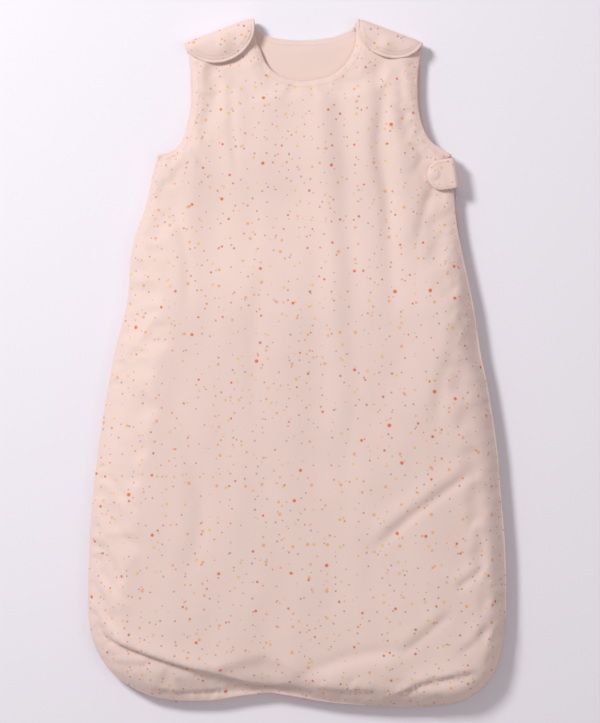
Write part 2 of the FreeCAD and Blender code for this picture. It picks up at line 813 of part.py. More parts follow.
def build_pull(pin_x, pin_y):
    """A wire-thin eye through the lug and a waisted tab that lies along the chain."""
    cheek_in, cheek_out = d.lug_height / 2 + 0.2, d.pull_width / 2
    length, thick = d.pull_length, d.pull_thick
    low_x = thick * -0.5
    body = new_body("pull_form")
    outline = [
        (-cheek_out, d.pull_head), (-cheek_out, -d.pull_shoulder),
        (d.pull_neck * -0.8, -d.pull_waist), (d.pull_neck * -0.8, -length + d.pull_shoulder),
        (d.pull_neck * -1.2, -length), (d.pull_neck * 1.2, -length),
        (d.pull_neck * 0.8, -length + d.pull_shoulder), (d.pull_neck * 0.8, -d.pull_waist),
        (cheek_out, -d.pull_shoulder), (cheek_out, d.pull_head),
    ]
    plan = [(along, across) for across, along in outline]
    pad(body, draw(body, "pull_plan", "YZ_Plane", plan, None, low_x), thick)
    window = box("pull_window", (low_x - 1, -d.pull_eye, -cheek_in), (thick + 1, d.pull_eye, cheek_in))
    open_form = cut("pull_open", body, window)
    pin = cylinder("pull_pin", d.pull_pin_radius, 0, 0, -cheek_in - 0.2, cheek_in + 0.2)
    whole = fuse("pull_whole", open_form, pin)
    turn = as_size(side_turn)
    x, y = side_place(d.slider_setback + d.slider_length, -d.chain_inset)
    x = x + pin_x * cosine(turn) - pin_y * sine(turn)
    y = y + pin_x * sine(turn) + pin_y * cosine(turn)
    finish(stand(whole, x, y, chain_z, side_turn), "zip_pull")
    print("pull pin", round(x.value, 3), round(y.value, 3), round(chain_z.value, 3))


# Shoulder flaps, made about the middle of the fold's crest, then turned to the shoulder

def half_oval(name, inset, low, high):
    """A flap's plan: the half oval that shows below the fold."""
    oval = doc.addObject("Part::Ellipse", name + "_rim")
    bind(oval, "MajorRadius", d.flap_width / 2 - inset)
    bind(oval, "MinorRadius", d.flap_reach - inset)
    bind(oval, "Placement.Base.z", low)
    prism = doc.addObject("Part::Extrusion", name + "_prism")
    prism.Base = oval
    prism.DirMode = "Custom"
    prism.Dir = V(0, 0, 1)
    prism.Solid = True
    bind(prism, "LengthFwd", as_size(high) - low)
    away = d.flap_width
    rest = box(name + "_rest", (-away, -fold_radius, as_size(low) - 1),
               (away, away, as_size(high) + 1))
    return cut(name, prism, rest)


def build_flaps():
    edge = d.flap_binding_width + d.binding_gap
    lining_top = d.flap_floor + d.flap_fabric
    wadding_low = lining_top + d.ply_gap
    wadding_high = wadding_low + d.flap_wadding
    shell_low = wadding_high + d.ply_gap
    flap_plies = {
        "lining": (d.flap_floor, lining_top, d.snap_seat_radius),
        "wadding": (wadding_low, wadding_high, d.snap_hole_radius),
        "shell": (shell_low, shell_low + d.flap_fabric, d.snap_hole_radius),
    }
    for side, word in ((-1, "left"), (1, "right")):
        turn = -side * d.strap_turn.value
        x = d.upper_shift + side * d.strap_spread / 2
        for ply, (low, high, radius) in flap_plies.items():
            name = f"{word}_flap_{ply}"
            layer = half_oval(name + "_oval", edge, low, high)
            drill = cylinder(name + "_drill", radius, 0, -d.snap_setback,
                             low - 1, high + 1)
            punched = cut(name + "_punched", layer, drill)
            finish(stand(punched, x, strap_y, 0, turn), name)
        name = word + "_flap_binding"
        outer = half_oval(name + "_outer", 0, d.flap_floor, d.flap_floor + flap_thick)
        inner = half_oval(name + "_inner", d.flap_binding_width, d.flap_floor - 2,
                          d.flap_floor + flap_thick + 2)
        finish(stand(cut(name + "_strip", outer, inner), x, strap_y, 0, turn), name)
        name = word + "_strap_fold"
        body = new_body(name + "_form")
        centre = -fold_radius
        points = [
            (centre, 0), (0, fold_radius), (centre, fold_radius * 2),
            (centre, fold_radius + fold_bore), (centre + fold_bore, fold_radius),
            (centre, fold_radius - fold_bore),
        ]
        slack = math.sqrt(0.5)
        arcs = {
            edge: ((centre + radius * slack, fold_radius + side_up * radius * slack), radius)
            for edge, side_up, radius in (
                (0, -1, fold_radius), (1, 1, fold_radius), (3, 1, fold_bore),
                (4, -1, fold_bore))
        }
        pad(body, draw(body, name + "_section", "YZ_Plane", points, arcs),
            d.strap_width, True)
        finish(stand(body, x, strap_y, 0, turn), name)


# Underarm tab, made in the right side's own frame: X outwards, Y up along the side

def tab_layer(name, low, high):
    body = new_body(name)
    near, far = -d.tab_length, as_size(0)
    foot, head = -(d.tab_top_inset + d.tab_width), -d.tab_top_inset
    corner = d.tab_corner
    bow = corner * (1 - math.sqrt(0.5))
    points = [
        (far, foot), (far, head), (near + corner, head), (near, head - corner),
        (near, foot + corner), (near + corner, foot),
    ]
    arcs = {
        2: ((near + bow, head - bow), corner),
        4: ((near + bow, foot + bow), corner),
    }
    pad(body, draw(body, name + "_plan", "XY_Plane", points, arcs, low), as_size(high) - low)
    return body


def build_tab():
    x, y = side_place(as_size(0))
    seat = {"lining": (d.tab_floor, d.tab_floor + d.fabric, d.snap_seat_radius),
            "shell": (tab_roof - d.fabric, tab_roof, d.snap_hole_radius)}
    for ply, (low, high, radius) in seat.items():
        layer = tab_layer("tab_" + ply, low, high)
        drill = cylinder(f"tab_{ply}_drill", radius, -d.tab_snap_reach, -tab_middle,
                         low - 1, high + 1)
        finish(stand(cut(f"tab_{ply}_punched", layer, drill), x, y, 0, side_turn),
               "side_tab_" + ply)
    near, far = d.tab_fold_gap, d.tab_fold_gap + tab_thick
    bend = tab_roof - far
    slack = math.sqrt(0.5)
    points = [
        (near, d.tab_fold_foot), (far, d.tab_fold_foot), (far, bend), (0, tab_roof),
        (0, d.tab_floor), (near, bend),
    ]
    arcs = {
        2: ((far * slack, bend + far * slack), far),
        4: ((near * slack, bend + near * slack), near),
    }
    body = new_body("tab_fold_form")
    # The sketch on the XZ plane faces -Y, so its pad runs down the side
    pad(body, draw(body, "tab_fold_section", "XZ_Plane", points, arcs, d.tab_top_inset),
        d.tab_width)
    finish(stand(body, x, y, 0, side_turn), "side_tab_fold")


# Ring snaps: a stud and a socket, each held through the fabric by a ring with prongs

def stud(name):
    body = new_body(name)
    top = d.stud_flange + d.stud_height
    radius = d.stud_radius
    points = [
        (0, 0), (d.snap_radius, 0), (d.snap_radius - 0.5, d.stud_flange),
        (radius - 0.3, d.stud_flange), (radius, top - 0.6), (radius - 0.4, top), (0, top),
    ]
    revolve(body, draw(body, name + "_half", "XZ_Plane", points))
    return body


def socket(name):
    body = new_body(name)
    top, bore = d.socket_height, d.socket_bore_radius
    points = [
        (bore, 0), (d.snap_radius - 0.3, 0), (d.snap_radius, top - 0.4),
        (d.snap_radius - 0.7, top), (bore, top),
    ]
    revolve(body, draw(body, name + "_half", "XZ_Plane", points))
    return body


def prong_ring(name, prong):
    """A domed ring with prongs that point down from it."""
    body = new_body(name)
    bore, rim, thick = d.ring_bore_radius, d.snap_radius, d.ring_thick
    points = [
        (bore, 0), (rim, 0), (rim - 0.5, thick), (bore + 0.5, thick),
    ]
    revolve(body, draw(body, name + "_half", "XZ_Plane", points))
    doc.recompute()
    middle, half = d.prong_circle_radius, d.prong_width / 2
    foot = [(middle - half, -half), (middle + half, -half), (middle + half, half),
            (middle - half, half)]
    first = pad(body, draw(body, name + "_prong", "XY_Plane", foot, None, -prong), prong + 0.1)
    doc.recompute()
    spread = body.newObject("PartDesign::PolarPattern", name + "_prongs")
    spread.Originals = [first]
    spread.Axis = (origin_plane(body, "Z_Axis"), [""])
    spread.Angle = 360
    bind(spread, "Occurrences", d.prong_count)
    body.Tip = spread
    return body


def place_snap(word, x, y, seat_top, seat_floor, socket_top, roof):
    """One snap: stud and its ring on the front panel, socket and its ring on the flap."""
    stud_low = seat_top + d.snap_lift
    finish(stand(stud(word + "_stud_form"), x, y, stud_low), word + "_stud")
    socket_low = socket_top - d.socket_height
    finish(stand(socket(word + "_socket_form"), x, y, socket_low), word + "_socket")
    cap_low = roof + 0.05
    cap = prong_ring(word + "_cap_form", cap_low - socket_top - d.socket_gap)
    finish(stand(cap, x, y, cap_low), word + "_socket_ring")
    under = prong_ring(word + "_under_form", stud_low - seat_floor - d.ring_thick
                       - d.socket_gap)
    # The ring below the panel is the same form turned over, prongs up
    under.Placement = FreeCAD.Placement(V(0, 0, 0), FreeCAD.Rotation(V(1, 0, 0), 180))
    bind(under, "Placement.Base.x", x)
    bind(under, "Placement.Base.y", y)
    bind(under, "Placement.Base.z", seat_floor + d.ring_thick)
    finish(under, word + "_stud_ring")


def build_snaps():
    lining_clear = 0.1
    for word, (x, y) in zip(("left_shoulder", "right_shoulder"), snap_spots()):
        slope = d.snap_radius * (d.strap_drop / (top_y - underarm_y))
        top = strap_z(y, 0) + slope - d.snap_lift + lining_clear
        floor = strap_z(y, panel) + lining_clear
        place_snap(word, x, y, top, floor, d.flap_floor + d.flap_fabric - lining_clear,
                   d.flap_floor + flap_thick)
    x, y = side_place(tab_middle, -d.tab_snap_reach)
    place_snap("side_tab", x, y, chest_top + lining_clear - d.snap_lift, front_floor,
               d.tab_floor + d.fabric - lining_clear, tab_roof)


build_back()
build_front()
build_bindings()
build_side_seam()
build_tapes()
build_teeth()
build_stops()
build_pull(*build_slider())
build_flaps()
build_tab()
build_snaps()
doc.recompute()

for item in doc.Objects:
    if "Invalid" in item.State or "Error" in item.State:
        raise RuntimeError(f"{item.Label} failed: {item.State}")
os.makedirs("parts", exist_ok=True)
for item in subparts:
    shape = item.Shape
    if shape.isNull() or not shape.isValid() or not shape.Solids:
        raise RuntimeError(f"{item.Label} has no valid solid")
for item in subparts:
    item.Shape.exportStep(f"parts/{item.Label}.step")
whole = Part.makeCompound([item.Shape for item in subparts]).BoundBox
print(len(subparts), "sub-parts; box", [round(v, 2) for v in (
    whole.XMin, whole.YMin, whole.ZMin, whole.XMax, whole.YMax, whole.ZMax)])
print("side turn", round(side_turn, 4), "fold radius", fold_radius.value)
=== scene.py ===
# %% [markdown]
# # A quilted baby sleeping bag, lying on its back
# The imported model gives the frame: where each panel, strap, flap and snap is, and how the flaps, the tab
# and the zip move. This lesson dresses that frame as cloth. It starts by loading the frame and keeping its
# box, from which the panels' heights are read.

# %% Load the frame
import json
import math

import bmesh
import bpy
import numpy as np
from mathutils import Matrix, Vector, geometry, noise


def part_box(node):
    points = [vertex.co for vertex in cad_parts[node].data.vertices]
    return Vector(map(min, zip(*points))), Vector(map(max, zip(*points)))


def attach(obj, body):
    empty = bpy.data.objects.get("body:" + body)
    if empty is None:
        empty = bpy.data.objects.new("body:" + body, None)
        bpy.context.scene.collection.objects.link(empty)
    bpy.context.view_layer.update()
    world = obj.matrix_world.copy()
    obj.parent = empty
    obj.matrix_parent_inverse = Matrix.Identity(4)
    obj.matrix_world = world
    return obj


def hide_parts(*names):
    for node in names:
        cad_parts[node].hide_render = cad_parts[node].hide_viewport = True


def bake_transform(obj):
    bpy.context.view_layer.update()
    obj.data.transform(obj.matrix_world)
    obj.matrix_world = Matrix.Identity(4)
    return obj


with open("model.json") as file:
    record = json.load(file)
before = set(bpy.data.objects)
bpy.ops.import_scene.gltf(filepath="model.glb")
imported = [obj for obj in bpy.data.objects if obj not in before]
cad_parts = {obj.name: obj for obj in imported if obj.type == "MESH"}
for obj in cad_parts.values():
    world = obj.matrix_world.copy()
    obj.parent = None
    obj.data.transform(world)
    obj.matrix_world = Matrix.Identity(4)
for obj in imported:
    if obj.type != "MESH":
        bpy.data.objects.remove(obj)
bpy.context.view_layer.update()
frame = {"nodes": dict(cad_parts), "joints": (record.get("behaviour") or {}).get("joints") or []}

MM = 0.001
BAG = "bag"
back_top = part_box("back_shell")[1].z / MM
seam_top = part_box("zip_tape_front")[1].z / MM
belly_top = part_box("front_shell")[1].z / MM
print("back panel", round(back_top, 1), "front seam", round(seam_top, 1), "belly", round(belly_top, 1))

# %% [markdown]
# ## Materials as sentences
# A node material is a sum: a base colour, a little shade where the yarn lies low, a dot here and there.
# Wrapping a socket in a small class lets that sum be written as Python, so each finish reads like a recipe.

# %% A socket that can be added and multiplied
class Value:
    def __init__(self, finish, node, out):
        self.finish, self.node, self.socket = finish, node, node.outputs[out]

    def out(self, name):
        return Value(self.finish, self.node, name)

    def maths(self, operation, first, second):
        return self.finish.add("ShaderNodeMath", {"operation": operation}, {0: first, 1: second})

    def __add__(self, other):
        return self.maths("ADD", self, other)

    def __mul__(self, other):
        return self.maths("MULTIPLY", self, other)

    def __lt__(self, other):
        return self.maths("LESS_THAN", self, other)

    __radd__, __rmul__ = __add__, __mul__


class Finish:
    """A material in the making, with one method that adds any node."""

    def __init__(self, name, **shader):
        self.material = bpy.data.materials.new(name)
        self.material.use_nodes = True
        self.tree = self.material.node_tree
        self.shader = self.tree.nodes["Principled BSDF"]
        for socket, value in shader.items():
            self.shader.inputs[socket.replace("_", " ")].default_value = value

    def add(self, kind, settings=None, inputs=None, out=0):
        node = self.tree.nodes.new(kind)
        for key, value in (settings or {}).items():
            setattr(node, key, value)
        for key, value in (inputs or {}).items():
            self.feed(node.inputs[key], value)
        return Value(self, node, out)

    def feed(self, socket, value):
        if isinstance(value, Value):
            self.tree.links.new(value.socket, socket)
        else:
            socket.default_value = value

    def sine(self, value):
        return self.add("ShaderNodeMath", {"operation": "SINE"}, {0: value})

    def mix(self, factor, first, second):
        return self.add("ShaderNodeMix", {"data_type": "RGBA"}, {0: factor, 6: first, 7: second}, out=2)

    def wear(self, **sockets):
        for socket, value in sockets.items():
            self.feed(self.shader.inputs[socket.replace("_", " ")], value)
        return self.material


def colour(red, green, blue):
    """A colour as it is seen on a screen, 0 to 255, turned into the light that a shader works in."""
    linear = [((c / 255 + 0.055) / 1.055) ** 2.4 if c > 10 else c / 3294 for c in (red, green, blue)]
    return (*linear, 1.0)


# %% [markdown]
# ## Cotton jersey
# The cloth is fine cotton jersey. Its loops are under a millimetre across, so they show as a faint tooth
# in the light, not as lines, and the dye is a little uneven. The cloth has its own UV map in metres, laid
# out as it was cut, so that loops and dots keep their size where a panel turns over its edge.

# %% The cloth's ground
cotton_pink = colour(243, 221, 214)
cotton_shade = colour(232, 206, 199)


LOOP = 0.9


def cloth_ground(finish):
    """The plain jersey: returns its UV place, its colour, its surface and its flecks."""
    place = finish.add("ShaderNodeUVMap", {"uv_map": "cloth"})
    cloudy = finish.add("ShaderNodeTexNoise", {}, {"Vector": place, "Scale": 14.0, "Detail": 3.0})
    fleck = finish.add("ShaderNodeTexNoise", {}, {"Vector": place, "Scale": 900.0, "Detail": 2.0})
    uneven = cloudy * 0.35 + fleck * 0.45
    ground = finish.mix(uneven, cotton_pink, cotton_shade)
    turn = 2 * math.pi / (LOOP * MM)
    apart = finish.add("ShaderNodeSeparateXYZ", {}, {"Vector": place})
    wale = finish.sine(apart * turn)
    course = finish.sine(apart.out("Y") * (turn * 1.3))
    height = wale * course * 0.5 + fleck * 0.8 + cloudy * 0.3
    bump = finish.add("ShaderNodeBump", {}, {"Strength": 0.35, "Distance": 0.0003, "Height": height})
    return place, ground, bump, fleck


def cotton(name, pattern=lambda finish, place, ground: ground):
    """Jersey in its ground colour, or in what a pattern makes of it."""
    finish = Finish(name, Sheen_Weight=0.25, Sheen_Roughness=0.5, Specular_IOR_Level=0.25)
    place, ground, bump, fleck = cloth_ground(finish)
    return finish.wear(Base_Color=pattern(finish, place, ground), Normal=bump,
                       Roughness=fleck * 0.15 + 0.8)


lining_cotton = cotton("plain cotton jersey")
binding_cotton = cotton("cotton binding")
print("materials", lining_cotton.name, "and", binding_cotton.name)

# %% [markdown]
# ## The scattered dots
# The print is a loose scatter of small dots: a few rust ones, more orange, soft ochre and tiny slate grey.
# A Voronoi texture puts one point in each cell, and the distance to it cuts a dot. Each colour is a scatter
# of its own, with its own pitch, so no two layers line up, and each cell's random colour decides whether a
# dot is printed there and how big it is.

# %% Printed cotton
#          pitch radius share colour                 strength place
DOTS = [
    (14.5, 1.20, 0.38, colour(240, 198, 130), 0.80, (3.1, 7.7)),
    (15.5, 1.25, 0.38, colour(243, 172, 112), 0.80, (11.3, 2.9)),
    (14.5, 0.80, 0.42, colour(226, 136, 98), 0.76, (5.7, 19.1)),
    (11.5, 0.80, 0.42, colour(160, 146, 154), 0.66, (23.9, 13.7)),
    (26.0, 1.00, 0.42, colour(200, 112, 78), 0.80, (31.7, 4.3)),
    (34.0, 1.40, 0.42, colour(230, 116, 62), 0.92, (17.3, 29.9)),
]


def print_dots(finish, place, ground):
    for pitch, radius, share, ink, strength, start in DOTS:
        grid = finish.add("ShaderNodeMapping", {}, {
            "Vector": place, "Location": (*start, 0.0), "Scale": (1 / (pitch * MM),) * 3})
        cell = finish.add("ShaderNodeTexVoronoi", {"voronoi_dimensions": "2D"},
                          {"Vector": grid, "Scale": 1.0})
        chance = finish.add("ShaderNodeSeparateColor", {}, {"Color": cell.out("Color")})
        edge = (chance.out("Green") * 0.8 + 0.6) * (radius / pitch)
        inside = finish.add("ShaderNodeMapRange", {"interpolation_type": "SMOOTHSTEP"}, {
            "Value": cell, "From Min": edge * 0.7, "From Max": edge * 1.3, "To Min": strength,
            "To Max": 0.0})
        ground = finish.mix(inside * (chance < share), ground, ink)
    return ground


dotted_cotton = cotton("printed cotton jersey", print_dots)
print("dots of", len(DOTS), "inks")

# %% [markdown]
# ## Thread, tape, zip and snaps
# The small parts are dyed to match the cloth. Thread is slightly glossier and twisted, zip tape is a tight
# herringbone, moulded teeth are smooth, and the snaps and slider are painted metal that has worn a little.

# %% The small parts' finishes
def ribbed(name, tone, pitch, rough, depth, metallic=0.0, coat=0.0):
    """A finish with fine slanting ribs, for thread, tape, moulded teeth and paint."""
    finish = Finish(name, Metallic=metallic, Coat_Weight=coat, Coat_Roughness=0.3)
    place = finish.add("ShaderNodeTexCoord", out="Object")
    apart = finish.add("ShaderNodeSeparateXYZ", {}, {"Vector": place})
    rib = finish.sine((apart + apart.out("Y") + apart.out("Z")) * (2 * math.pi / (pitch * MM)))
    speck = finish.add("ShaderNodeTexNoise", {}, {"Vector": place, "Scale": 400.0, "Detail": 3.0})
    darker = tuple(c * 0.82 for c in tone[:3]) + (1.0,)
    body = finish.mix(speck * 0.6 + rib * 0.12, tone, darker)
    bump = finish.add("ShaderNodeBump", {}, {"Strength": 0.4, "Distance": depth * MM,
                                             "Height": rib * 0.5 + speck})
    return finish.wear(Base_Color=body, Normal=bump, Roughness=speck * 0.2 + rough)


thread = ribbed("sewing thread", colour(236, 204, 192), 0.5, 0.5, 0.05)
tape_weave = ribbed("zip tape weave", colour(232, 204, 193), 0.7, 0.75, 0.1)
tooth_resin = ribbed("moulded teeth", colour(230, 200, 190), 1.5, 0.35, 0.02)
snap_paint = ribbed("painted snap", colour(236, 212, 203), 3.0, 0.4, 0.01, coat=0.2)
slider_paint = ribbed("painted slider", colour(224, 194, 183), 3.0, 0.35, 0.02, metallic=0.3, coat=0.3)

# %% [markdown]
# The snaps, the slider, its pull and the zip's stops are hard, and the frame already has their right shape,
# so they stay and only change finish.

# %% Dress the hard parts
for name, node in frame["nodes"].items():
    snap = name.endswith(("stud", "socket", "_ring"))
    metal = name in ("zip_slider", "zip_pull")
    if snap or metal or name.endswith(("stops", "stop")):
        node.data.materials.clear()
        node.data.materials.append(snap_paint if snap else slider_paint if metal else tooth_resin)

# %% [markdown]
# ## Paths
# A pattern piece is a closed line. Only a few of its points matter, and a smooth curve through them gives
# the rest, so each edge below is a short list of points in millimetres, from the left underarm round the
# hem to the right underarm, then over the shoulders.

# %% Smooth lines
def run_of(path):
    """The length of a path up to each of its points."""
    return np.concatenate([[0], np.cumsum(np.linalg.norm(np.diff(path, axis=0), axis=1))])


def unit(vectors):
    return vectors / np.linalg.norm(vectors, axis=1)[:, None]


def right_of(heading):
    return np.column_stack([heading[:, 1], -heading[:, 0]])


def smooth(points, step):
    """Evenly spaced points on a Catmull-Rom curve through a few points."""
    points = np.array(points, float)
    padded = np.vstack([2 * points[0] - points[1], points, 2 * points[-1] - points[-2]])
    fine = []
    for index in range(1, len(padded) - 2):
        a, b, c, e = padded[index - 1:index + 3]
        for t in np.linspace(0, 1, 12, endpoint=False):
            fine.append(0.5 * (2 * b + (c - a) * t + (2 * a - 5 * b + 4 * c - e) * t ** 2
                               + (3 * b - a - 3 * c + e) * t ** 3))
    fine.append(points[-1])
    fine = np.array(fine)
    run = run_of(fine)
    count = max(2, int(round(run[-1] / step)) + 1)
    at = np.linspace(0, run[-1], count)
    return np.column_stack([np.interp(at, run, fine[:, k]) for k in range(fine.shape[1])])


LEFT_SIDE = [(-141, 209), (-145, 190), (-152, 158), (-161, 133), (-167, 108), (-169, 84), (-171, 60),
             (-177, 35), (-184, 8), (-190, -24), (-196, -60), (-203, -110), (-208, -160), (-210, -205),
             (-211, -250), (-207, -281), (-195, -306), (-180, -322), (-152, -338), (-124, -344)]
HEM = [(-124, -344), (-100, -344.5), (-80, -343.5), (-60, -340), (-42, -337.5), (-28, -336), (-14, -338),
       (5, -341), (36, -346), (82, -349.5), (130, -350)]
RIGHT_SIDE = [(130, -350), (160, -347), (181, -338), (198, -321), (207, -298), (211, -270), (212, -230),
              (211, -190), (208, -150), (205, -115), (203, -90), (198, -55), (192, -20), (186, 8),
              (182, 35), (178, 60), (172, 88), (167, 112), (162, 140), (159, 168), (158, 190), (157, 209)]
RIGHT_SCYE = [(157, 209), (147, 214.5), (134, 225), (126, 243), (122.5, 264), (122.5, 290), (126, 317.2)]
NECK = [(60.4, 341.8), (62, 330), (58, 314), (49, 300), (34, 289), (9, 284), (-7, 286), (-22, 292.5),
        (-32, 303), (-37, 315), (-43, 328), (-44.4, 341.8)]
LEFT_SCYE = [(-110, 317.2), (-107, 303), (-105, 280), (-105, 262), (-108, 244), (-113, 228),
             (-121, 216), (-131, 211), (-141, 209)]
print("cut to", round(np.ptp(np.array(LEFT_SIDE + RIGHT_SIDE)[:, 0])), "mm wide")

# %% Distances to a line
def closed(line):
    return np.vstack([line, line[:1]])


def joined(*lines):
    """One closed loop from lines that each start where the last one ends."""
    return np.vstack([line[:-1] for line in lines])


def nearest(points, line):
    """For each point: distance to the line, vector to its nearest place, and how far along that is."""
    best = np.full(len(points), 1e9)
    toward, along = np.zeros((len(points), 2)), np.zeros(len(points))
    run = run_of(line)
    for index in range(len(line) - 1):
        a, b = line[index], line[index + 1]
        span = b - a
        t = np.clip(((points - a) @ span) / max(span @ span, 1e-9), 0, 1)
        gap = a + t[:, None] * span - points
        length = np.hypot(gap[:, 0], gap[:, 1])
        closer = length < best
        best[closer], toward[closer] = length[closer], gap[closer]
        along[closer] = (run[index] + t * (run[index + 1] - run[index]))[closer] / run[-1]
    return best, toward, along


def step(low, high, value):
    t = np.clip((value - low) / (high - low), 0, 1)
    return t * t * (3 - 2 * t)


# %% [markdown]
# ## A quilted pattern piece
# Every soft piece is cut, filled and sewn in the same way: the cloth is cut to a closed line, filled with
# points a few millimetres apart, given a face and a lining with wadding between them, and closed by a seam.
# Delaunay triangles fill any outline, however it curves, which a plain grid can't do round a neck.

# %% Cut and sew
def inside(points, loop):
    """True where a point is within a closed line."""
    hit = np.zeros(len(points), bool)
    for a, b in zip(loop, np.roll(loop, -1, axis=0)):
        if a[1] == b[1]:
            continue
        crossing = (a[1] > points[:, 1]) != (b[1] > points[:, 1])
        x = (b[0] - a[0]) * (points[:, 1] - a[1]) / (b[1] - a[1]) + a[0]
        hit ^= crossing & (points[:, 0] < x)
    return hit


def cut_cloth(loop, pitch, marks=()):
    """Fills a closed line with triangles: returns flat points, triangles and the edge's order.
    Marks are lines inside it that the triangles follow, so that a fold there is crisp."""
    low, high = loop.min(0), loop.max(0)
    rows = []
    for number, y in enumerate(np.arange(low[1], high[1], pitch * 0.866)):
        x = np.arange(low[0] + (number % 2) * pitch / 2, high[0], pitch)
        rows.append(np.column_stack([x, np.full(len(x), y)]))
    grid = np.vstack(rows)
    grid = grid[inside(grid, loop)]
    away, _, _ = nearest(grid, closed(loop))
    grid = grid[away > pitch * 0.6]
    for mark in marks:
        near, _, _ = nearest(grid, mark)
        grid = np.vstack([grid[near > pitch * 0.45], mark])
    flat = np.vstack([loop, grid])
    count = len(loop)
    edges = [(k, (k + 1) % count) for k in range(count)]
    made = geometry.delaunay_2d_cdt([Vector(p) for p in flat], edges, [], 1, 1e-6)
    points = np.array([v[:] for v in made[0]])
    origin = {old: new for new, olds in enumerate(made[3]) for old in olds}
    return points, made[2], [origin[k] for k in range(count)]


def quilt(name, loop, pitch, shape, rim=1.0, materials=(), spread=None, marks=()):
    """A closed quilted piece. shape(flat points) gives the face's and the lining's places."""
    flat, triangles, edge = cut_cloth(loop, pitch, marks)
    face, lining = shape(flat)
    count, ring = len(flat), len(edge)
    after = np.roll(flat[edge], -1, axis=0)
    outward = unit(right_of(after - np.roll(flat[edge], 1, axis=0)))
    if np.sum(flat[edge][:, 0] * after[:, 1] - flat[edge][:, 1] * after[:, 0]) < 0:
        outward = -outward
    beyond_face, beyond_lining = shape(flat[edge] + outward * rim)
    middle = (beyond_face + beyond_lining) / 2
    verts = np.vstack([face, lining, middle])
    uv = np.vstack([flat, flat, flat[edge] + outward * rim * 2])
    if spread:
        extra = spread(flat)
        uv += np.vstack([extra, extra, extra[edge]])
    faces, slots = [], []
    for a, b, c in triangles:
        first, second = flat[b] - flat[a], flat[c] - flat[a]
        if first[0] * second[1] < first[1] * second[0]:
            b, c = c, b
        faces += [(a, b, c), (count + a, count + c, count + b)]
        slots += [0, 1]
    for k in range(ring):
        here, there = edge[k], edge[(k + 1) % ring]
        m, n = 2 * count + k, 2 * count + (k + 1) % ring
        faces += [(here, m, n, there), (m, count + here, count + there, n)]
        slots += [0, 0]
    piece = cloth_piece(name, verts, faces, uv[np.concatenate(faces)], materials)
    piece.data.polygons.foreach_set("material_index", slots)
    return piece


def put(name, data):
    """Puts an object in the scene."""
    item = bpy.data.objects.new(name, data)
    bpy.context.scene.collection.objects.link(item)
    return item


def tidy_normals(mesh):
    shell = bmesh.new()
    shell.from_mesh(mesh)
    bmesh.ops.recalc_face_normals(shell, faces=shell.faces)
    shell.to_mesh(mesh)
    shell.free()
    mesh.polygons.foreach_set("use_smooth", [True] * len(mesh.polygons))
    mesh.update()


def cloth_piece(name, verts, faces, uv, materials):
    """An object from places and UV, both in millimetres. UV has a row for each corner of each face."""
    mesh = bpy.data.meshes.new(name)
    mesh.from_pydata((verts * MM).tolist(), [], faces)
    mesh.uv_layers.new(name="cloth").data.foreach_set("uv", (uv * MM).ravel())
    for material in materials:
        mesh.materials.append(material)
    piece = put(name, mesh)
    tidy_normals(mesh)
    return piece


def subdivide(piece):
    """One round of subdivision, applied, so that the points stay where they are put later."""
    modifier = piece.modifiers.new("finer", "SUBSURF")
    modifier.levels = modifier.render_levels = 1
    modifier.use_limit_surface = False
    modifier.uv_smooth = "NONE"
    graph = bpy.context.evaluated_depsgraph_get()
    mesh = bpy.data.meshes.new_from_object(piece.evaluated_get(graph))
    old = piece.data
    piece.modifiers.clear()
    piece.data = mesh
    bpy.data.meshes.remove(old)
    mesh.name = piece.name


def points_of(mesh):
    out = np.zeros(len(mesh.vertices) * 3)
    mesh.vertices.foreach_get("co", out)
    return out.reshape(-1, 3)


def set_points(mesh, points):
    mesh.vertices.foreach_set("co", points.ravel())
    mesh.update()


# %% [markdown]
# ## The front panel
# The front lies over the room for the baby: high and round over the legs, flat over the chest, and a little
# lower at each shoulder. Its sides and hem come down to the zip, and its neck and armholes end in a bound
# edge that pinches the wadding thin.

# %% Shape the front
outer_line = np.vstack([smooth(LEFT_SIDE, 6)[:-1], smooth(HEM, 6)[:-1], smooth(RIGHT_SIDE, 6)])
right_scye = smooth(RIGHT_SCYE, 5)
left_scye = smooth(LEFT_SCYE, 5)
neck_line = smooth(NECK, 5)
right_end = smooth([right_scye[-1], neck_line[0]], 5)
left_end = smooth([neck_line[-1], left_scye[0]], 5)
bound_lines = (right_scye, right_end, neck_line, left_end, left_scye)
front_loop = joined(outer_line, *bound_lines)
bound_line = np.vstack(bound_lines)
UNDERARM_Y, SHOULDER_Y, SHOULDER_DROP = 209, 350, 8.2
SEAM_PLIES, WADDING = 2.2, 4.6
CHEST_RISE, BELLY_SPARE = 7.0, 2.5
RIM_CURVE, RIM_SHARE, DOME_REACH, DOME_SHARE = 2.6, 0.85, 140, 0.15
PINCHED, FULLER, PINCH_REACH = 0.42, 0.58, 14
RIM_SLOPE, CLIMB_SPARE, SPREAD_CURVE, BEYOND = 2.2, 4.7, 3.4, 25


def bulge(gap, reach, curve):
    """From 0 at an edge to 1 at reach from it, steepest at the edge."""
    return 1 - (1 - np.clip(gap / reach, 0, 1)) ** curve


def front_floor(y):
    """The under side of the front: level to the underarm, then falling to the shoulder."""
    return seam_top - SHOULDER_DROP * np.clip((y - UNDERARM_Y) / (SHOULDER_Y - UNDERARM_Y), 0, 1)


def rim_reach(flat):
    """How far in from the seam the cloth still climbs: a steep rim on the right, a softer one left."""
    left = 1 - step(-150, 60, flat[:, 0])
    return 13 + (9 + 26 * left) * (1 - step(30, 190, flat[:, 1]))


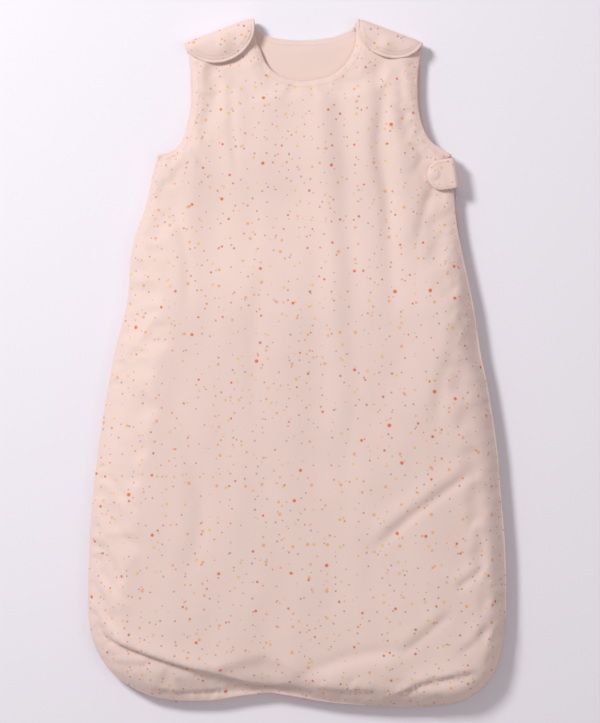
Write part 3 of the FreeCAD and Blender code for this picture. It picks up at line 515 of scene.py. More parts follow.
def front_shape(flat):
    y = flat[:, 1]
    to_seam, _, _ = nearest(flat, outer_line)
    to_bound, _, _ = nearest(flat, bound_line)
    chest, belly = seam_top + CHEST_RISE, belly_top - BELLY_SPARE
    crown = chest + (belly - seam_top - CHEST_RISE) * (1 - step(40, 175, y))
    rise = (RIM_SHARE * bulge(to_seam, rim_reach(flat), RIM_CURVE)
            + DOME_SHARE * bulge(to_seam, DOME_REACH, 2))
    pinch = PINCHED + FULLER * bulge(to_bound, PINCH_REACH, 2.2)
    floor = front_floor(y)
    top = floor + SEAM_PLIES + (crown - seam_top - SEAM_PLIES) * rise * pinch
    thick = SEAM_PLIES + WADDING * bulge(to_seam, 16, 2) * pinch
    under = np.maximum(top - thick, floor)
    return np.column_stack([flat, top]), np.column_stack([flat, under])


def front_spread(flat):
    """How much longer the cloth is than its plan where it climbs from the seam. The way out is towards
    a line beyond the seam, so that it is known on the seam as well."""
    away, _, _ = nearest(flat, outer_line)
    beyond = outer_line + right_of(unit(np.gradient(outer_line, axis=0))) * BEYOND
    far, toward, _ = nearest(flat, beyond)
    reach = rim_reach(flat)
    slope = RIM_SLOPE * (belly_top - seam_top - CLIMB_SPARE) / reach
    extra = ((np.sqrt(1 + slope ** 2) - 1) * reach / SPREAD_CURVE
             * (1 - np.clip(away / reach, 0, 1)) ** SPREAD_CURVE)
    return toward / far[:, None] * extra[:, None]


# Sharp folds near the hem: line, width of the turned cloth, depth, ridge, reach of the low side
SHARP = [
    ([(-203, -262), (-196, -276), (-183, -285), (-163, -293), (-134, -303), (-106, -311.5), (-77, -319),
      (-49, -327), (-24, -330), (-8, -329), (10, -333.5), (30, -338)], 8.0, 5.5, 2.8, 22.0),
    ([(-150, -331), (-122, -335.5), (-90, -335), (-60, -332.5)], 4.5, 1.8, 0.9, 4.0),
    ([(16, -331), (52, -333.5), (82, -333)], 5.5, 1.8, 2.0, 5.0),
    ([(94, -340), (108, -334), (126, -325), (154, -319), (184, -313)], 7.0, 3.0, 2.0, 9.0),
    ([(-188, -304), (-168, -307), (-146, -304)], 5.0, 1.2, 0.9, 4.0),
    ([(-66, -335), (-34, -334), (0, -336.5), (44, -342)], 3.0, 1.2, 0.9, 3.0),
]
BROW = 0.35


def marks_of(folds, pitch):
    """Two rows of points along each sharp fold: its foot and its brow."""
    rows = []
    for line, wide, *_ in folds:
        foot = smooth(line, pitch)
        rows += [foot, foot - right_of(unit(np.gradient(foot, axis=0))) * wide * BROW]
    return rows


front = quilt("front_panel", front_loop, 6.0, front_shape, 1.2, (dotted_cotton, lining_cotton),
              front_spread, marks_of(SHARP, 5.0))
print(front.name, len(front.data.vertices), "points")

# %% [markdown]
# ## Let the cloth settle
# Sewn cloth is a little fuller than its seam, so it swells and puckers along it. A short cloth simulation
# does that by itself: the edge is pinned, the cloth is let out by a few percent, air presses from within,
# and gravity is off. Left free the cloth would swell by over a centimetre, so each point is held to a few
# millimetres of its place. The folds that show are worked in afterwards.

# %% Cloth simulation
FRAMES = 20


def settle(piece, pinned, pressure, let_out, cap):
    """Runs a short cloth simulation on a piece and keeps its shape, with no point moving past cap."""
    group = piece.vertex_groups.new(name="sewn")
    for weight in (0.0, 1.0):
        group.add(np.flatnonzero(pinned == weight).tolist(), weight, "REPLACE")
    cloth = piece.modifiers.new("settling", "CLOTH")
    settings = cloth.settings
    settings.quality = 6
    settings.mass = 0.25
    settings.tension_stiffness = settings.compression_stiffness = 12
    settings.shear_stiffness = 5
    settings.bending_stiffness = 0.6
    settings.vertex_group_mass = "sewn"
    settings.use_pressure = True
    settings.uniform_pressure_force = pressure
    settings.shrink_min = -let_out
    settings.effector_weights.gravity = 0
    cloth.collision_settings.use_self_collision = False
    cloth.point_cache.frame_start, cloth.point_cache.frame_end = 1, FRAMES
    scene = bpy.context.scene
    for number in range(1, FRAMES + 1):
        scene.frame_set(number)
    graph = bpy.context.evaluated_depsgraph_get()
    moved = points_of(piece.evaluated_get(graph).data)
    piece.modifiers.clear()
    piece.vertex_groups.clear()
    scene.frame_set(1)
    rest = points_of(piece.data)
    shift = moved - rest
    size = np.linalg.norm(shift, axis=1)
    shift *= (np.minimum(size, cap * MM) / np.maximum(size, 1e-9))[:, None]
    set_points(piece.data, rest + shift)
    print(piece.name, "would settle by", round(float(size.mean()) / MM, 1), "mm, held to", cap)


start = points_of(front.data)
edge_gap, _, _ = nearest(start[:, :2] / MM, closed(front_loop))
settle(front, np.where(edge_gap < 2.0, 1.0, 0.0), pressure=2.0, let_out=0.014, cap=2.6)
subdivide(front)

# %% [markdown]
# ## Creases
# The bag has been lifted and laid down, so a few folds run across it. Each one is a line with a valley on
# it and a low ridge beside it, fading at both ends. They are worked into the settled cloth, over a slow
# roll that keeps the wadding from looking ironed.

# %% Fold lines
# Line of the fold, width, depth of the valley, height of the ridge
FOLDS = [
    ([(-196, -110), (-178, -132), (-156, -156)], 7.0, 1.6, 1.2),
    ([(-198, -140), (-180, -170), (-150, -196)], 9.0, 1.2, 0.9),
    ([(-203, -205), (-186, -228), (-160, -246)], 8.0, 1.0, 0.8),
    ([(194, -101), (150, -131), (110, -161), (70, -197)], 10.0, 2.2, 1.8),
    ([(190, -208), (173, -221), (158, -232)], 7.0, 1.6, 1.2),
    ([(-9, -324), (30, -307), (65, -296), (122, -289)], 13.0, 1.8, 1.6),
    ([(160, -250), (130, -276), (100, -300)], 9.0, 1.5, 1.2),
    ([(196, -262), (180, -284), (160, -298)], 7.0, 1.2, 1.0),
    ([(84, 300), (89, 262), (82, 215), (92, 170), (96, 110)], 11.0, 1.2, 1.0),
    ([(-62, 300), (-66, 250), (-60, 180)], 8.0, 1.0, 0.8),
    ([(103, 272), (113, 262), (121, 254)], 4.0, 1.1, 0.8),
    ([(104, 256), (114, 248), (124, 240)], 4.0, 1.0, 0.7),
    ([(-112, 244), (-102, 240), (-90, 242)], 4.5, 1.0, 0.7),
    ([(-118, 222), (-104, 212), (-92, 198)], 6.0, 1.1, 0.8),
    ([(-150, 190), (-125, 160), (-112, 110), (-108, 40)], 11.0, 1.2, 1.0),
    ([(150, 196), (132, 160), (120, 110)], 9.0, 1.3, 1.0),
    ([(176, 40), (150, -10), (138, -70)], 12.0, 1.2, 1.0),
    ([(-30, 120), (-44, 20), (-40, -80)], 16.0, 0.8, 0.8),
    ([(40, 90), (58, -10), (52, -110)], 16.0, 0.8, 0.8),
    ([(-120, -60), (-96, -150), (-110, -230)], 15.0, 1.0, 1.0),
]


def crease(points):
    """The height that the folds add at each flat point, in millimetres."""
    height = np.zeros(len(points))
    for line, width, depth, ridge in FOLDS:
        path = smooth(line, 6)
        near = (points > path.min(0) - 3 * width).all(1) & (points < path.max(0) + 3 * width).all(1)
        gap, toward, along = nearest(points[near], path)
        heading = path[-1] - path[0]
        side = np.sign(heading[0] * toward[:, 1] - heading[1] * toward[:, 0])
        across = gap * side
        fade = step(0.0, 0.25, along) * (1 - step(0.72, 1.0, along))
        valley = -depth * np.exp(-(across / (width * 0.55)) ** 2)
        hill = ridge * np.exp(-((across - width) / width) ** 2)
        height[near] += (valley + hill) * fade
    return height


def sharp_crease(points):
    """Folds where the cloth turns under: it stands proud on one side and drops steeply to the other."""
    height = np.zeros(len(points))
    for line, width, depth, ridge, low_side in SHARP:
        path = smooth(line, 5)
        gap, toward, along = nearest(points, path)
        nearby = np.argmin(np.abs(along[:, None] - np.linspace(0, 1, len(path))), axis=1)
        heading = np.gradient(path, axis=0)[nearby]
        side = -np.sign(heading[:, 0] * toward[:, 1] - heading[:, 1] * toward[:, 0])
        across = gap * side / width
        below = np.minimum(gap * side, 0) / low_side
        brow = step(0.0, BROW, across)
        hill = ridge * brow * np.exp(-(np.maximum(across - BROW, 0) / 1.5) ** 2)
        valley = -depth * (1 - brow) * np.exp(-below ** 2)
        height += (hill + valley) * step(-0.02, 0.18, along) * (1 - step(0.8, 1.02, along))
    return height


def roll(points, size, seed):
    """A slow, even noise over flat points, from about -1 to 1."""
    x, y = points[:, 0] / size, points[:, 1] / size
    return np.array([noise.noise(Vector((a, b * 0.55, seed))) for a, b in zip(x, y)]) * 2


def pucker(gap, along, length, pitch):
    """Short tucks at right angles to a seam, of uneven spacing."""
    wave = along * length / pitch
    uneven = np.array([noise.noise(Vector((a * 0.35, 3.7, 1.9))) for a in wave]) * 2.2
    return np.sin(2 * math.pi * (wave + uneven)) * np.exp(-gap / 12) * step(0.5, 5, gap)


# Place across the chest, width, height, top and foot
DRAPES = [(-72, 13, -1.2, 300, 90), (-22, 15, 0.9, 280, 60), (24, 12, 1.1, 270, 40),
          (44, 11, -1.5, 285, 30), (84, 9, -1.5, 300, 70), (102, 10, 1.3, 300, 120),
          (-100, 10, 0.9, 290, 120), (128, 10, -1.0, 230, 60)]


def drape(points):
    """Broad soft folds that hang down the chest from the straps and fade over the belly."""
    x, y = points[:, 0], points[:, 1]
    height = np.zeros(len(x))
    for place, width, depth, top, foot in DRAPES:
        centre = place + (280 - y) * 0.06 * np.sign(place)
        along = step(foot - 60, foot + 60, y) * (1 - step(top - 20, top + 40, y))
        height += 1.35 * depth * np.exp(-((x - centre) / width) ** 2) * along
    return height


mesh = front.data
points = points_of(mesh)
flat = points[:, :2] / MM
SEAM_LENGTH, BOUND_LENGTH = 1500, 760
seam_gap, _, seam_along = nearest(flat, outer_line)
scye_gap, _, scye_along = nearest(flat, bound_line)
lift = crease(flat) * step(0, 14, np.minimum(seam_gap, scye_gap))
lift += sharp_crease(flat) * step(0, 7, seam_gap)
clear = step(0, 26, np.minimum(seam_gap, scye_gap))
lift += (roll(flat, 95, 4.2) * 1.5 + roll(flat, 40, 9.1) * 0.8 + roll(flat, 19, 5.5) * 0.25) * clear
lift += drape(flat) * clear
lift += pucker(scye_gap, scye_along, BOUND_LENGTH, 11) * 0.55
lift += pucker(seam_gap, seam_along, SEAM_LENGTH, 17) * 0.5
points[:, 2] += lift * MM
set_points(mesh, points)
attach(front, BAG)
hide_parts("front_shell", "front_wadding", "front_lining")
print("folds", len(FOLDS) + len(SHARP), "highest", round(points[:, 2].max() / MM, 1))

# %% [markdown]
# ## The back panel
# The back lies flat on the table. It is cut a little wider at the neck and the right armhole than the
# front, so its plain lining shows there, and its straps end where the shoulder flaps begin.

# %% Shape the back
BACK_NECK = [(59.5, 339), (55, 337), (48, 333.8), (34, 329.3), (9, 326.7), (-17, 328), (-32, 332),
             (-39, 335.5), (-43.5, 339)]
BACK_RIGHT_SCYE = [(157, 209), (149, 213), (138, 221), (130, 240), (126.5, 264), (126.5, 295),
                   (125.2, 314.6)]
BACK_LEFT_SCYE = [(-109.2, 314.6), (-108, 303), (-107, 280), (-107, 262), (-110, 244), (-115, 227),
                  (-122, 215), (-131, 210.5), (-141, 209)]
back_neck = smooth(BACK_NECK, 6)
back_right, back_left = smooth(BACK_RIGHT_SCYE, 6), smooth(BACK_LEFT_SCYE, 6)
crest_right = smooth([back_right[-1], back_neck[0]], 6)
crest_left = smooth([back_neck[-1], back_left[0]], 6)
back_loop = joined(outer_line, back_right, crest_right, back_neck, crest_left, back_left)
back_edge = closed(back_loop)


BACK_EDGE_TOP, BACK_EDGE_UNDER, CLEARANCE = 4.6, 1.9, 0.02


def back_shape(flat):
    away, _, _ = nearest(flat, back_edge)
    full = bulge(away, 10, 2.2)
    sag = 0.4 * roll(flat, 60, 2.6)
    top = BACK_EDGE_TOP + (back_top - BACK_EDGE_TOP) * full + sag * full
    under = BACK_EDGE_UNDER * (1 - full) + CLEARANCE
    return np.column_stack([flat, top]), np.column_stack([flat, under])


back = quilt("back_panel", back_loop, 7.0, back_shape, 1.0, (lining_cotton, dotted_cotton))
for polygon in back.data.polygons[-2 * len(back_loop):]:
    polygon.material_index = 1
subdivide(back)
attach(back, BAG)
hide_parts("back_shell", "back_wadding", "back_lining")
print(back.name, len(back.data.vertices), "points")

# %% [markdown]
# ## Shoulder flaps
# Each back strap folds over the shoulder and ends in a half-oval flap that snaps to the front. The flap is
# one quilted piece from the back strap to its tip, cut flat and then bent over the fold, so the dots run
# on round it. For each flap a low and a high point on the fold are kept, which nothing here uses.

# %% Where the straps and snaps are
hinges = {joint["child"]: joint for joint in frame["joints"]}
STRAP_TURN = math.radians(20.5)
STRAP_HALF, AXIS_OVER_CLOTH = 34.6, 2.3


def middle_of(node):
    low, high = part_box(node)
    return np.array([(low.x + high.x) / 2, (low.y + high.y) / 2]) / MM


class Strap:
    """One shoulder: places on it, given across the strap and along the cloth from the back."""

    def __init__(self, word, side):
        self.word, self.body = word, word + "_flap"
        self.centre = np.array(hinges[self.body]["pos_m"][:2]) / MM
        self.axis_z = hinges[self.body]["pos_m"][2] / MM
        self.across = np.array([math.cos(STRAP_TURN), -side * math.sin(STRAP_TURN), 0])
        self.beyond = np.array([side * math.sin(STRAP_TURN), math.cos(STRAP_TURN), 0])
        self.radius = self.axis_z - AXIS_OVER_CLOTH
        self.bend = math.pi * self.radius
        snap = middle_of(word + "_shoulder_socket") - self.centre
        self.snap = np.array([snap @ self.across[:2],
                              self.bend - self.axis_z - snap @ self.beyond[:2]])
        self.inner = -side
        self.oval = (35.6, 31.2) if side < 0 else (33.0, 26.4)

    def place(self, flat, height):
        """3-D places for flat points."""
        across, along = flat[:, 0], flat[:, 1]
        angle = np.clip(along / self.radius, 0, math.pi)
        radius = self.radius + height
        reach = (radius * np.sin(angle) + np.minimum(along, 0) - np.maximum(along - self.bend, 0)
                 - self.axis_z)
        z = self.axis_z - radius * np.cos(angle)
        base = np.append(self.centre, 0)
        return (base + across[:, None] * self.across + reach[:, None] * self.beyond
                + np.outer(z, (0, 0, 1)))

    def normal(self, flat):
        angle = np.clip(flat[:, 1] / self.radius, 0, math.pi)
        return np.outer(np.sin(angle), self.beyond) - np.outer(np.cos(angle), (0, 0, 1))

    def sag(self, flat):
        """How the flap lies: its tip drops, its neck corner lifts, and the snap shows as a bump."""
        over = step(self.bend * 0.75, self.bend + 12, flat[:, 1])
        tip = -1.8 * step(self.bend + 4, self.bend + 20, flat[:, 1])
        corner = 3.4 * step(8, 34, flat[:, 0] * self.inner) * over
        drop = -1.6 * step(8, 34, -flat[:, 0] * self.inner) * over
        away = np.hypot(*(flat - self.snap).T)
        bump = 1.5 * np.exp(-(away / 5.2) ** 4) + 0.5 * np.exp(-((away - 6.5) / 2.0) ** 2)
        ripple = 0.5 * roll(flat, 13, 1.3 + self.inner) * over
        return (tip + corner + drop) * (1 - np.exp(-(away / 9) ** 2)) + bump + ripple


def flap_line(strap):
    """The flap as cut: straight strap edges, then a half oval that starts on the fold."""
    wide, deep = strap.oval
    start = math.asin(strap.axis_z / deep)
    oval = [(wide * math.cos(t), strap.bend - strap.axis_z + deep * math.sin(t))
            for t in np.linspace(start, math.pi - start, 17)]
    hip = min(wide, STRAP_HALF)
    side = [(STRAP_HALF, 0), (hip, strap.bend * 0.45), (wide, strap.bend * 0.72)]
    edges = side + oval + [(-x, y) for x, y in reversed(side)]
    return smooth(edges, 3.5)


def flap_shape(strap, loop):
    def shape(flat):
        away, _, _ = nearest(flat, loop)
        to_end = np.clip(flat[:, 1] / 6, 0, 1)
        full = bulge(away, 9, 2.2)
        half = 1.4 + 0.9 * np.maximum(full, 1 - to_end)
        rise = strap.sag(flat)
        return strap.place(flat, half + rise), strap.place(flat, -half + np.minimum(rise, 0.6))
    return shape


straps = [Strap("left", -1), Strap("right", 1)]
for number, strap in enumerate(straps):
    loop = flap_line(strap)
    strap.loop = loop
    bottom = smooth([loop[-1], loop[0]], 4.0)
    flap = quilt(strap.word + "_shoulder_flap", joined(loop, bottom), 3.0, flap_shape(strap, loop), 0.8,
                 (dotted_cotton, lining_cotton),
                 lambda flat, n=number: np.full(flat.shape, 430.0 + 170 * n))
    subdivide(flap)
    crest = Vector((*(strap.centre * MM), 0))
    strap.start, strap.end = crest + Vector((0, 0, 0.005)), crest + Vector((0, 0, 0.0165))
    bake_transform(flap)
    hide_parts(*(f"{strap.word}_{part}" for part in
                        ("flap_shell", "flap_wadding", "flap_lining", "strap_fold")))
    print(flap.name, len(flap.data.vertices), "points")

# %% [markdown]
# ## Side tab
# Under the right arm a short tab comes up from the back, wraps over the top of the zip and snaps to the
# front, so the slider can't creep open. It has two plies and no wadding.

# %% Bend the tab round the side
tab_hinge = hinges["side_tab"]
down = -np.array(tab_hinge["axis"])
out_of = np.array([-down[1], down[0], 0])
tab_axis = np.array(tab_hinge["pos_m"]) / MM
tab_snap = middle_of("side_tab_socket")
tab_low, tab_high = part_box("side_tab_shell")
TAB_WALL, TAB_BEND, TAB_REACH, TAB_HALF, TAB_PLY = 20.0, 2.9, 25.5, 14.9, 1.35
TAB_QUARTER = TAB_BEND * math.pi / 2
tab_top = tab_high.z / MM
tab_middle = ((tab_low.y + tab_high.y) / 2 / MM - tab_axis[1]) / down[1]


def tab_place(flat, height):
    """The tab's path: up the side, round a tight bend and in over the front."""
    along, across = flat[:, 0], flat[:, 1]
    foot = tab_top - TAB_PLY - TAB_BEND - TAB_WALL
    angle = np.clip((along - TAB_WALL) / TAB_BEND, 0, math.pi / 2)
    wall = np.minimum(along, TAB_WALL)
    beyond = np.maximum(along - TAB_WALL - TAB_QUARTER, 0)
    radius = TAB_BEND + height
    out = -TAB_PLY - TAB_BEND + radius * np.cos(angle) - beyond
    z = foot + wall + radius * np.sin(angle)
    base = tab_axis * (1, 1, 0)
    return (base + np.outer(across + tab_middle, down) + np.outer(out, out_of)
            + np.outer(z, (0, 0, 1)))


TAB_LENGTH = TAB_WALL + TAB_QUARTER + TAB_REACH
tab_side = [(0, -TAB_HALF + 0.6), (TAB_WALL, -TAB_HALF), (TAB_LENGTH - 15, -TAB_HALF),
            (TAB_LENGTH - 8, -TAB_HALF + 1.2), (TAB_LENGTH - 1.8, -TAB_HALF + 7)]
tab_line = smooth(tab_side + [(TAB_LENGTH, 0)] + [(x, -y) for x, y in reversed(tab_side)], 2.6)
snap_from_axis = tab_snap - tab_axis[:2]
tab_snap_flat = np.array([TAB_WALL + TAB_QUARTER - TAB_PLY - TAB_BEND - snap_from_axis @ out_of[:2],
                          snap_from_axis @ down[:2] - tab_middle])


def tab_shape(flat):
    away, _, _ = nearest(flat, tab_line)
    half = 0.75 + 0.6 * bulge(away, 3, 2)
    from_snap = np.hypot(*(flat - tab_snap_flat).T)
    ring = 1.25 * np.exp(-(from_snap / 4.6) ** 6) + 0.35 * np.exp(-((from_snap - 3.9) / 0.9) ** 2)
    wave = 0.3 * roll(flat, 9, 6.6) * step(TAB_WALL, TAB_WALL + 8, flat[:, 0])
    return tab_place(flat, half + ring + wave), tab_place(flat, -half + np.minimum(wave, 0.2))


tab_foot = smooth([tab_line[-1], tab_line[0]], 2.6)
tab = quilt("side_tab_cloth", joined(tab_line, tab_foot), 2.2, tab_shape, 0.5,
            (dotted_cotton, lining_cotton), lambda flat: np.full(flat.shape, 880.0))
subdivide(tab)
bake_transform(tab)
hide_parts("side_tab_shell", "side_tab_lining", "side_tab_fold")
print(tab.name, len(tab.data.vertices), "points")

# %% [markdown]
# ## Bindings and seams
# The neck, the armholes and the flaps are edged with a bias strip that is folded round the raw edge. A
# strip is one section carried along the edge: at each point it needs to know which way is out and which
# is up. The same sweep makes the side seam, the zip's tapes and the beads of its teeth.

# %% Carry a section along a path
def pill(half_wide, half_high, inset=0.0, corner=2.6, count=16):
    """A rounded section, out and up, with flattened sides."""
    turn = np.linspace(0, 2 * math.pi, count, endpoint=False)
    c, s = np.cos(turn), np.sin(turn)
    return np.column_stack([np.sign(c) * np.abs(c) ** (2 / corner) * half_wide - inset,
                            np.sign(s) * np.abs(s) ** (2 / corner) * half_high])


def sweep(name, path, out, up, section, material, body=BAG, swell=None):
    """A closed strip with capped ends. swell(share of the way) widens it here and there."""
    count, sides = len(path), len(section)
    run = run_of(path)
    size = np.ones(count) if swell is None else swell(run / run[-1])
    verts = (path[:, None] + out[:, None] * section[None, :, :1] * size[:, None, None]
             + up[:, None] * section[None, :, 1:] * size[:, None, None]).reshape(-1, 3)
    around = run_of(closed(section))
    faces, uv = [], []
    for i in range(count - 1):
        for k in range(sides):
            n = (k + 1) % sides
            faces.append((i * sides + k, i * sides + n, (i + 1) * sides + n, (i + 1) * sides + k))
            uv += [(run[i], around[k]), (run[i], around[k + 1]), (run[i + 1], around[k + 1]),
                   (run[i + 1], around[k])]
    for start in (0, (count - 1) * sides):
        faces.append(tuple(range(start, start + sides)))
        uv += [(x, y) for x, y in section]
    piece = cloth_piece(name, verts, faces, np.array(uv), [material])
    if body:
        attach(piece, body)
    return piece


UP = np.array([0.0, 0.0, 1.0])


def level_frame(line, inward_to):
    """For a line in plan: the outward direction at each point, away from a place, and up."""
    out = right_of(unit(np.gradient(line[:, :2], axis=0)))
    if np.mean(np.sum(out * (line[:, :2] - np.array(inward_to)), axis=1)) < 0:
        out = -out
    return np.column_stack([out, np.zeros(len(out))]), np.tile(UP, (len(out), 1))


def uneven(seed, depth=0.06):
    def swell(share):
        return 1 + depth * np.array([noise.noise(Vector((s * 60, seed, 2.2))) for s in share]) * 2
    return swell


fine_neck, fine_left, fine_right = smooth(NECK, 3), smooth(LEFT_SCYE, 3), smooth(RIGHT_SCYE, 3)
fine_back_neck, fine_back_right = smooth(BACK_NECK, 3), smooth(BACK_RIGHT_SCYE, 3)
BELLY, CHEST, HIPS = (8, 150), (8, 250), (0, -60)
EDGES = [
    ("front_neck_edge", fine_neck, BELLY, "front_neck_binding"),
    ("left_front_arm_edge", fine_left, CHEST, "left_armhole_binding"),
    ("right_front_arm_edge", fine_right, CHEST, "right_front_armhole_binding"),
    ("back_neck_edge", fine_back_neck, BELLY, "back_neck_binding"),
    ("left_back_arm_edge", smooth(BACK_LEFT_SCYE, 3), CHEST, None),
    ("right_back_arm_edge", fine_back_right, CHEST, "right_back_armhole_binding"),
]
for seed, (name, line, toward, replaced) in enumerate(EDGES, start=1):
    on_front = "front" in name
    height = front_floor(line[:, 1]) + 2.1 if on_front else np.full(len(line), 3.3)
    path = np.column_stack([line, height])
    out, up = level_frame(path, toward)
    section = pill(2.5, 2.35, 1.7) if on_front else pill(2.4, 1.9, 1.5)
    edge = sweep(name, path, out, up, section, binding_cotton, swell=uneven(seed))
    if replaced:
        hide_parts(replaced)

for seed, strap in enumerate(straps):
    line = smooth(strap.loop, 2.2)
    rise = strap.sag(line)
    path = strap.place(line, rise * 0.5 + np.minimum(rise, 0.6) * 0.5)
    up = strap.normal(line)
    out = unit(np.cross(np.gradient(path, axis=0), up))
    edge = sweep(strap.word + "_flap_edge", path, out, up, pill(1.7, 1.6, 0.9), binding_cotton,
                 body=None, swell=uneven(7.0 + seed))
    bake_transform(edge)
    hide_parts(strap.word + "_flap_binding")
print("eight edges bound")

# %% [markdown]
# ## Side seam and zip
# On the left the two panels are sewn together. On the right, and round the hem, a moulded zip joins them,
# standing on edge between the panels. The tape is woven, and the teeth are small blocks of resin, one
# every few millimetres, which is just what a node tree on a path is for.

# %% Seam, tapes and beads
def inset_line(line, depth, toward=HIPS):
    out, _ = level_frame(line, toward)
    return line - out[:, :2] * depth


chain_z = (back_top + seam_top) / 2
left_path = inset_line(smooth(LEFT_SIDE, 5), 2.6)
left_path = np.column_stack([left_path, np.full(len(left_path), chain_z)])
out, up = level_frame(left_path, HIPS)
seam = sweep("left_side_seam_cloth", left_path, out, up, pill(2.2, 4.4, 0.6, 1.6), binding_cotton,
             swell=uneven(9.0, 0.08))
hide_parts("left_side_seam")

zip_path = np.vstack([smooth(HEM, 3)[:-1], smooth(RIGHT_SIDE, 3)])
zip_path = inset_line(zip_path, 3.6)
zip_path = zip_path[(zip_path[:, 0] > -121) & ((zip_path[:, 1] < 196) | (zip_path[:, 0] < 0))]
# The slider's path is straight, so the teeth above its lower limit are too
share = step(-104, -72, zip_path[:, 1]) * (zip_path[:, 0] > 100)
straight_x = tab_axis[0] - 3.2 - 3.5 + (zip_path[:, 1] - UNDERARM_Y) / down[1] * down[0]
zip_path[:, 0] += (straight_x - zip_path[:, 0]) * share


def zip_strip(name, z, section, material, replaced):
    path = np.column_stack([zip_path, np.full(len(zip_path), z)])
    out, up = level_frame(path, HIPS)
    piece = sweep(name, path, out, up, section, material)
    if replaced:
        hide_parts(replaced)
    return piece


TAPE, BEAD = pill(0.4, 1.5, 0, 6.0, 8), pill(0.8, 0.45, 0, 2.0, 8)
zip_strip("zip_tape_lower", (back_top + 9.4) / 2 - 0.2, TAPE, tape_weave, "zip_tape_back")
zip_strip("zip_tape_upper", (12.6 + seam_top) / 2 + 0.2, TAPE, tape_weave, "zip_tape_front")
zip_strip("zip_bead_lower", 9.6, BEAD, tooth_resin, None)
zip_strip("zip_bead_upper", 12.4, BEAD, tooth_resin, None)

# %% A tree that repeats a block along a path
def repeat_tree(name, kind, material):
    """Resamples a path and puts a block or a rounded stitch at each point, turned along it."""
    tree = bpy.data.node_groups.new(name, "GeometryNodeTree")
    face = tree.interface
    face.new_socket("Path", in_out="INPUT", socket_type="NodeSocketGeometry")
    for label in ("Pitch", "Long", "Wide", "High"):
        face.new_socket(label, in_out="INPUT", socket_type="NodeSocketFloat")
    face.new_socket("Pieces", in_out="OUTPUT", socket_type="NodeSocketGeometry")

    def add(kind, **settings):
        node = tree.nodes.new(kind)
        for key, value in settings.items():
            setattr(node, key, value)
        return node

    def join(source, out, target, into):
        tree.links.new(source.outputs[out], target.inputs[into])

    given, result = add("NodeGroupInput"), add("NodeGroupOutput")
    line = add("GeometryNodeMeshToCurve")
    points = add("GeometryNodeCurveToPoints", mode="LENGTH")
    size = add("ShaderNodeCombineXYZ")
    turned = add("FunctionNodeAlignRotationToVector", axis="X")
    block = add("GeometryNodeMeshCube" if kind == "block" else "GeometryNodeMeshUVSphere")
    if kind == "stitch":
        block.inputs["Segments"].default_value, block.inputs["Rings"].default_value = 6, 4
        block.inputs["Radius"].default_value = 0.5
    copies = add("GeometryNodeInstanceOnPoints")
    real, dressed = add("GeometryNodeRealizeInstances"), add("GeometryNodeSetMaterial")
    dressed.inputs["Material"].default_value = material
    join(given, "Path", line, "Mesh")
    join(line, "Curve", points, "Curve")
    join(given, "Pitch", points, "Length")
    join(points, "Tangent", turned, "Vector")
    for label, axis in (("Long", "X"), ("Wide", "Y"), ("High", "Z")):
        join(given, label, size, axis)
    join(points, "Points", copies, "Points")
    join(block, "Mesh", copies, "Instance")
    join(turned, "Rotation", copies, "Rotation")
    join(size, "Vector", copies, "Scale")
    join(copies, "Instances", real, "Geometry")
    join(real, "Geometry", dressed, "Geometry")
    join(dressed, "Geometry", result, "Pieces")
    return tree


def repeat(name, tree, paths, body, **sizes):
    """Runs a tree over paths, keeps the result as a plain mesh, and lets it ride on a body."""
    verts, edges = [], []
    for path in paths:
        base = len(verts)
        verts += (np.asarray(path) * MM).tolist()
        edges += [(base + k, base + k + 1) for k in range(len(path) - 1)]
    mesh = bpy.data.meshes.new(name + "_path")
    mesh.from_pydata(verts, edges, [])
    source = put(name + "_path", mesh)
    modifier = source.modifiers.new("repeat", "NODES")
    modifier.node_group = tree
    identifiers = {item.name: item.identifier for item in tree.interface.items_tree
                   if item.item_type == "SOCKET" and item.in_out == "INPUT"}
    for label, value in sizes.items():
        modifier[identifiers[label]] = value * MM
    graph = bpy.context.evaluated_depsgraph_get()
    made = bpy.data.meshes.new_from_object(source.evaluated_get(graph))
    bpy.data.objects.remove(source)
    piece = put(name, made)
    made.name = name
    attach(piece, body)
    print(name, len(made.polygons), "faces")
    return piece


# %% Teeth
tooth_tree = repeat_tree("teeth along a chain", "block", tooth_resin)
fine_zip = smooth(zip_path[::3], 1.5)
for word, z, from_start in (("lower", 10.6, 0), ("upper", 11.4, 1)):
    path = np.column_stack([fine_zip[from_start:], np.full(len(fine_zip) - from_start, z)])
    row = repeat("zip_teeth_" + word, tooth_tree, [path], BAG,
                 Pitch=3.0, Long=1.35, Wide=1.7, High=1.7)
    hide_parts("zip_teeth_back" if word == "lower" else "zip_teeth_front")

# %% [markdown]
# ## Stitches
# A line of stitches holds each binding down. The same tree lays small rounded stitches along the edges,
# a hair above the cloth, on lines found by dropping points onto the settled panel.

# %% Lay the stitch lines
def drop(piece, line, lift=0.15):
    """Puts a plan line onto the top of a piece."""
    out = []
    for x, y in line:
        hit, place, _, _ = piece.ray_cast(Vector((x * MM, y * MM, 0.2)), Vector((0, 0, -1)))
        if hit:
            out.append((x, y, place.z / MM + lift))
    return out


def drawn_in(line, centre, depth):
    """A line moved towards a place by a set depth."""
    return line + unit(centre - line) * depth


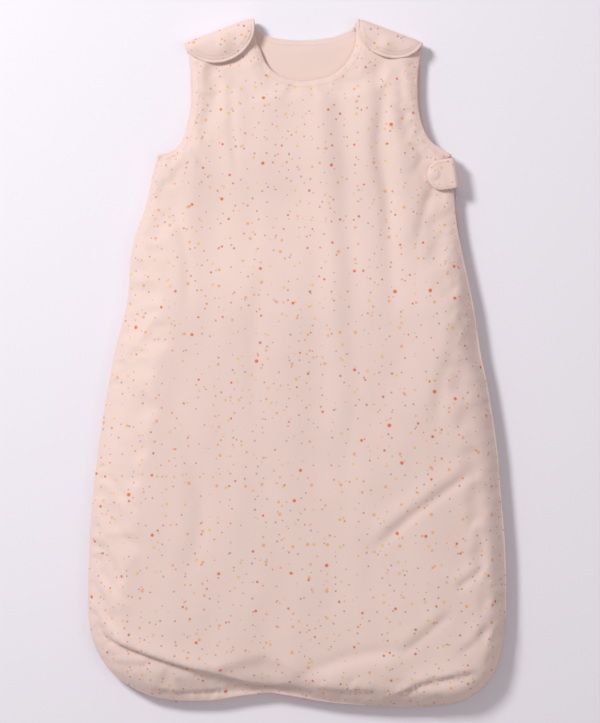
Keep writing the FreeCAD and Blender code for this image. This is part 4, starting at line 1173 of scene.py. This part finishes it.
bpy.context.view_layer.update()
stitch_tree = repeat_tree("stitches along a seam", "stitch", thread)
STITCH = {"Pitch": 2.6, "Long": 1.9, "Wide": 0.5, "High": 0.4}
front_lines = (fine_neck, BELLY), (fine_left, CHEST), (fine_right, CHEST)
back_lines = (fine_back_neck, BELLY), (fine_back_right, CHEST)
for name, piece, depth, lines in (("front_binding_stitches", front, 5.4, front_lines),
                                  ("back_binding_stitches", back, 5.0, back_lines)):
    sewn = [drop(piece, inset_line(line, depth, toward)) for line, toward in lines]
    repeat(name, stitch_tree, sewn, BAG, **STITCH)
for strap in straps:
    line = smooth(strap.loop, 2.2)
    line = line[line[:, 1] > strap.bend - 1]
    inner = drawn_in(line, np.array([0, strap.bend - 4]), 4.6)
    path = strap.place(inner, 2.25 + strap.sag(inner) + 0.1)
    repeat(strap.word + "_flap_stitches", stitch_tree, [path], strap.body, **STITCH)
inner = drawn_in(tab_line[tab_line[:, 0] > TAB_WALL + 6], np.array([TAB_LENGTH - 16, 0]), 2.4)
repeat("side_tab_stitches", stitch_tree, [tab_place(inner, np.full(len(inner), 1.5))], "side_tab",
       **{**STITCH, "Wide": 0.45, "High": 0.35})

# %% [markdown]
# ## Table, light and camera
# The bag lies on a pale table. A large soft lamp stands beyond its upper left, so folds shade towards the
# lower right, and the room's own light fills the rest. The camera looks straight down from far off.

# %% Table
TABLE_HALF, TABLE_Z = 4, -0.0004
table = bpy.data.meshes.new("table_top")
corners = [(x * TABLE_HALF, y * TABLE_HALF, TABLE_Z) for x, y in ((-1, -1), (1, -1), (1, 1), (-1, 1))]
table.from_pydata(corners, [], [(0, 1, 2, 3)])
table_top = put("table_top", table)
paper = Finish("pale paper", Roughness=0.95, Specular_IOR_Level=0.1)
grain = paper.add("ShaderNodeTexNoise", {}, {"Scale": 60.0})
pale = paper.mix(grain * 0.3, colour(243, 241, 251), colour(240, 237, 248))
table.materials.append(paper.wear(Base_Color=pale))

# %% Lights
def lamp(name, place, size, power, tint=(1, 1, 1)):
    light = bpy.data.lights.new(name, "AREA")
    light.shape, light.size = "DISK", size
    light.energy, light.color = power, tint
    holder = put(name, light)
    holder.location = place
    holder.rotation_euler = (-Vector(place)).to_track_quat("-Z", "Y").to_euler()


lamp("key", (-1.3, 1.15, 1.85), 0.6, 42, (1.0, 1.0, 0.985))
lamp("fill", (1.0, -0.2, 2.2), 1.6, 7)
world = bpy.data.worlds.new("room")
bpy.context.scene.world = world
world.use_nodes = True
sky = world.node_tree.nodes["Background"]
sky.inputs["Color"].default_value = (1.0, 0.9, 0.875, 1)
sky.inputs["Strength"].default_value = 0.35

# %% Camera
SENSOR, DISTANCE, VIEW_HEIGHT = 36.0, 2.5, 0.7335
camera = put("camera", bpy.data.cameras.new("camera"))
camera.location = (0.0035, -0.0005, 2.52)
camera.data.sensor_width = SENSOR
camera.data.lens = SENSOR * DISTANCE / VIEW_HEIGHT
camera.data.clip_end = 20
bpy.context.scene.camera = camera
bpy.context.scene.view_settings.view_transform = "Standard"

# %% Finish
bpy.context.view_layer.update()
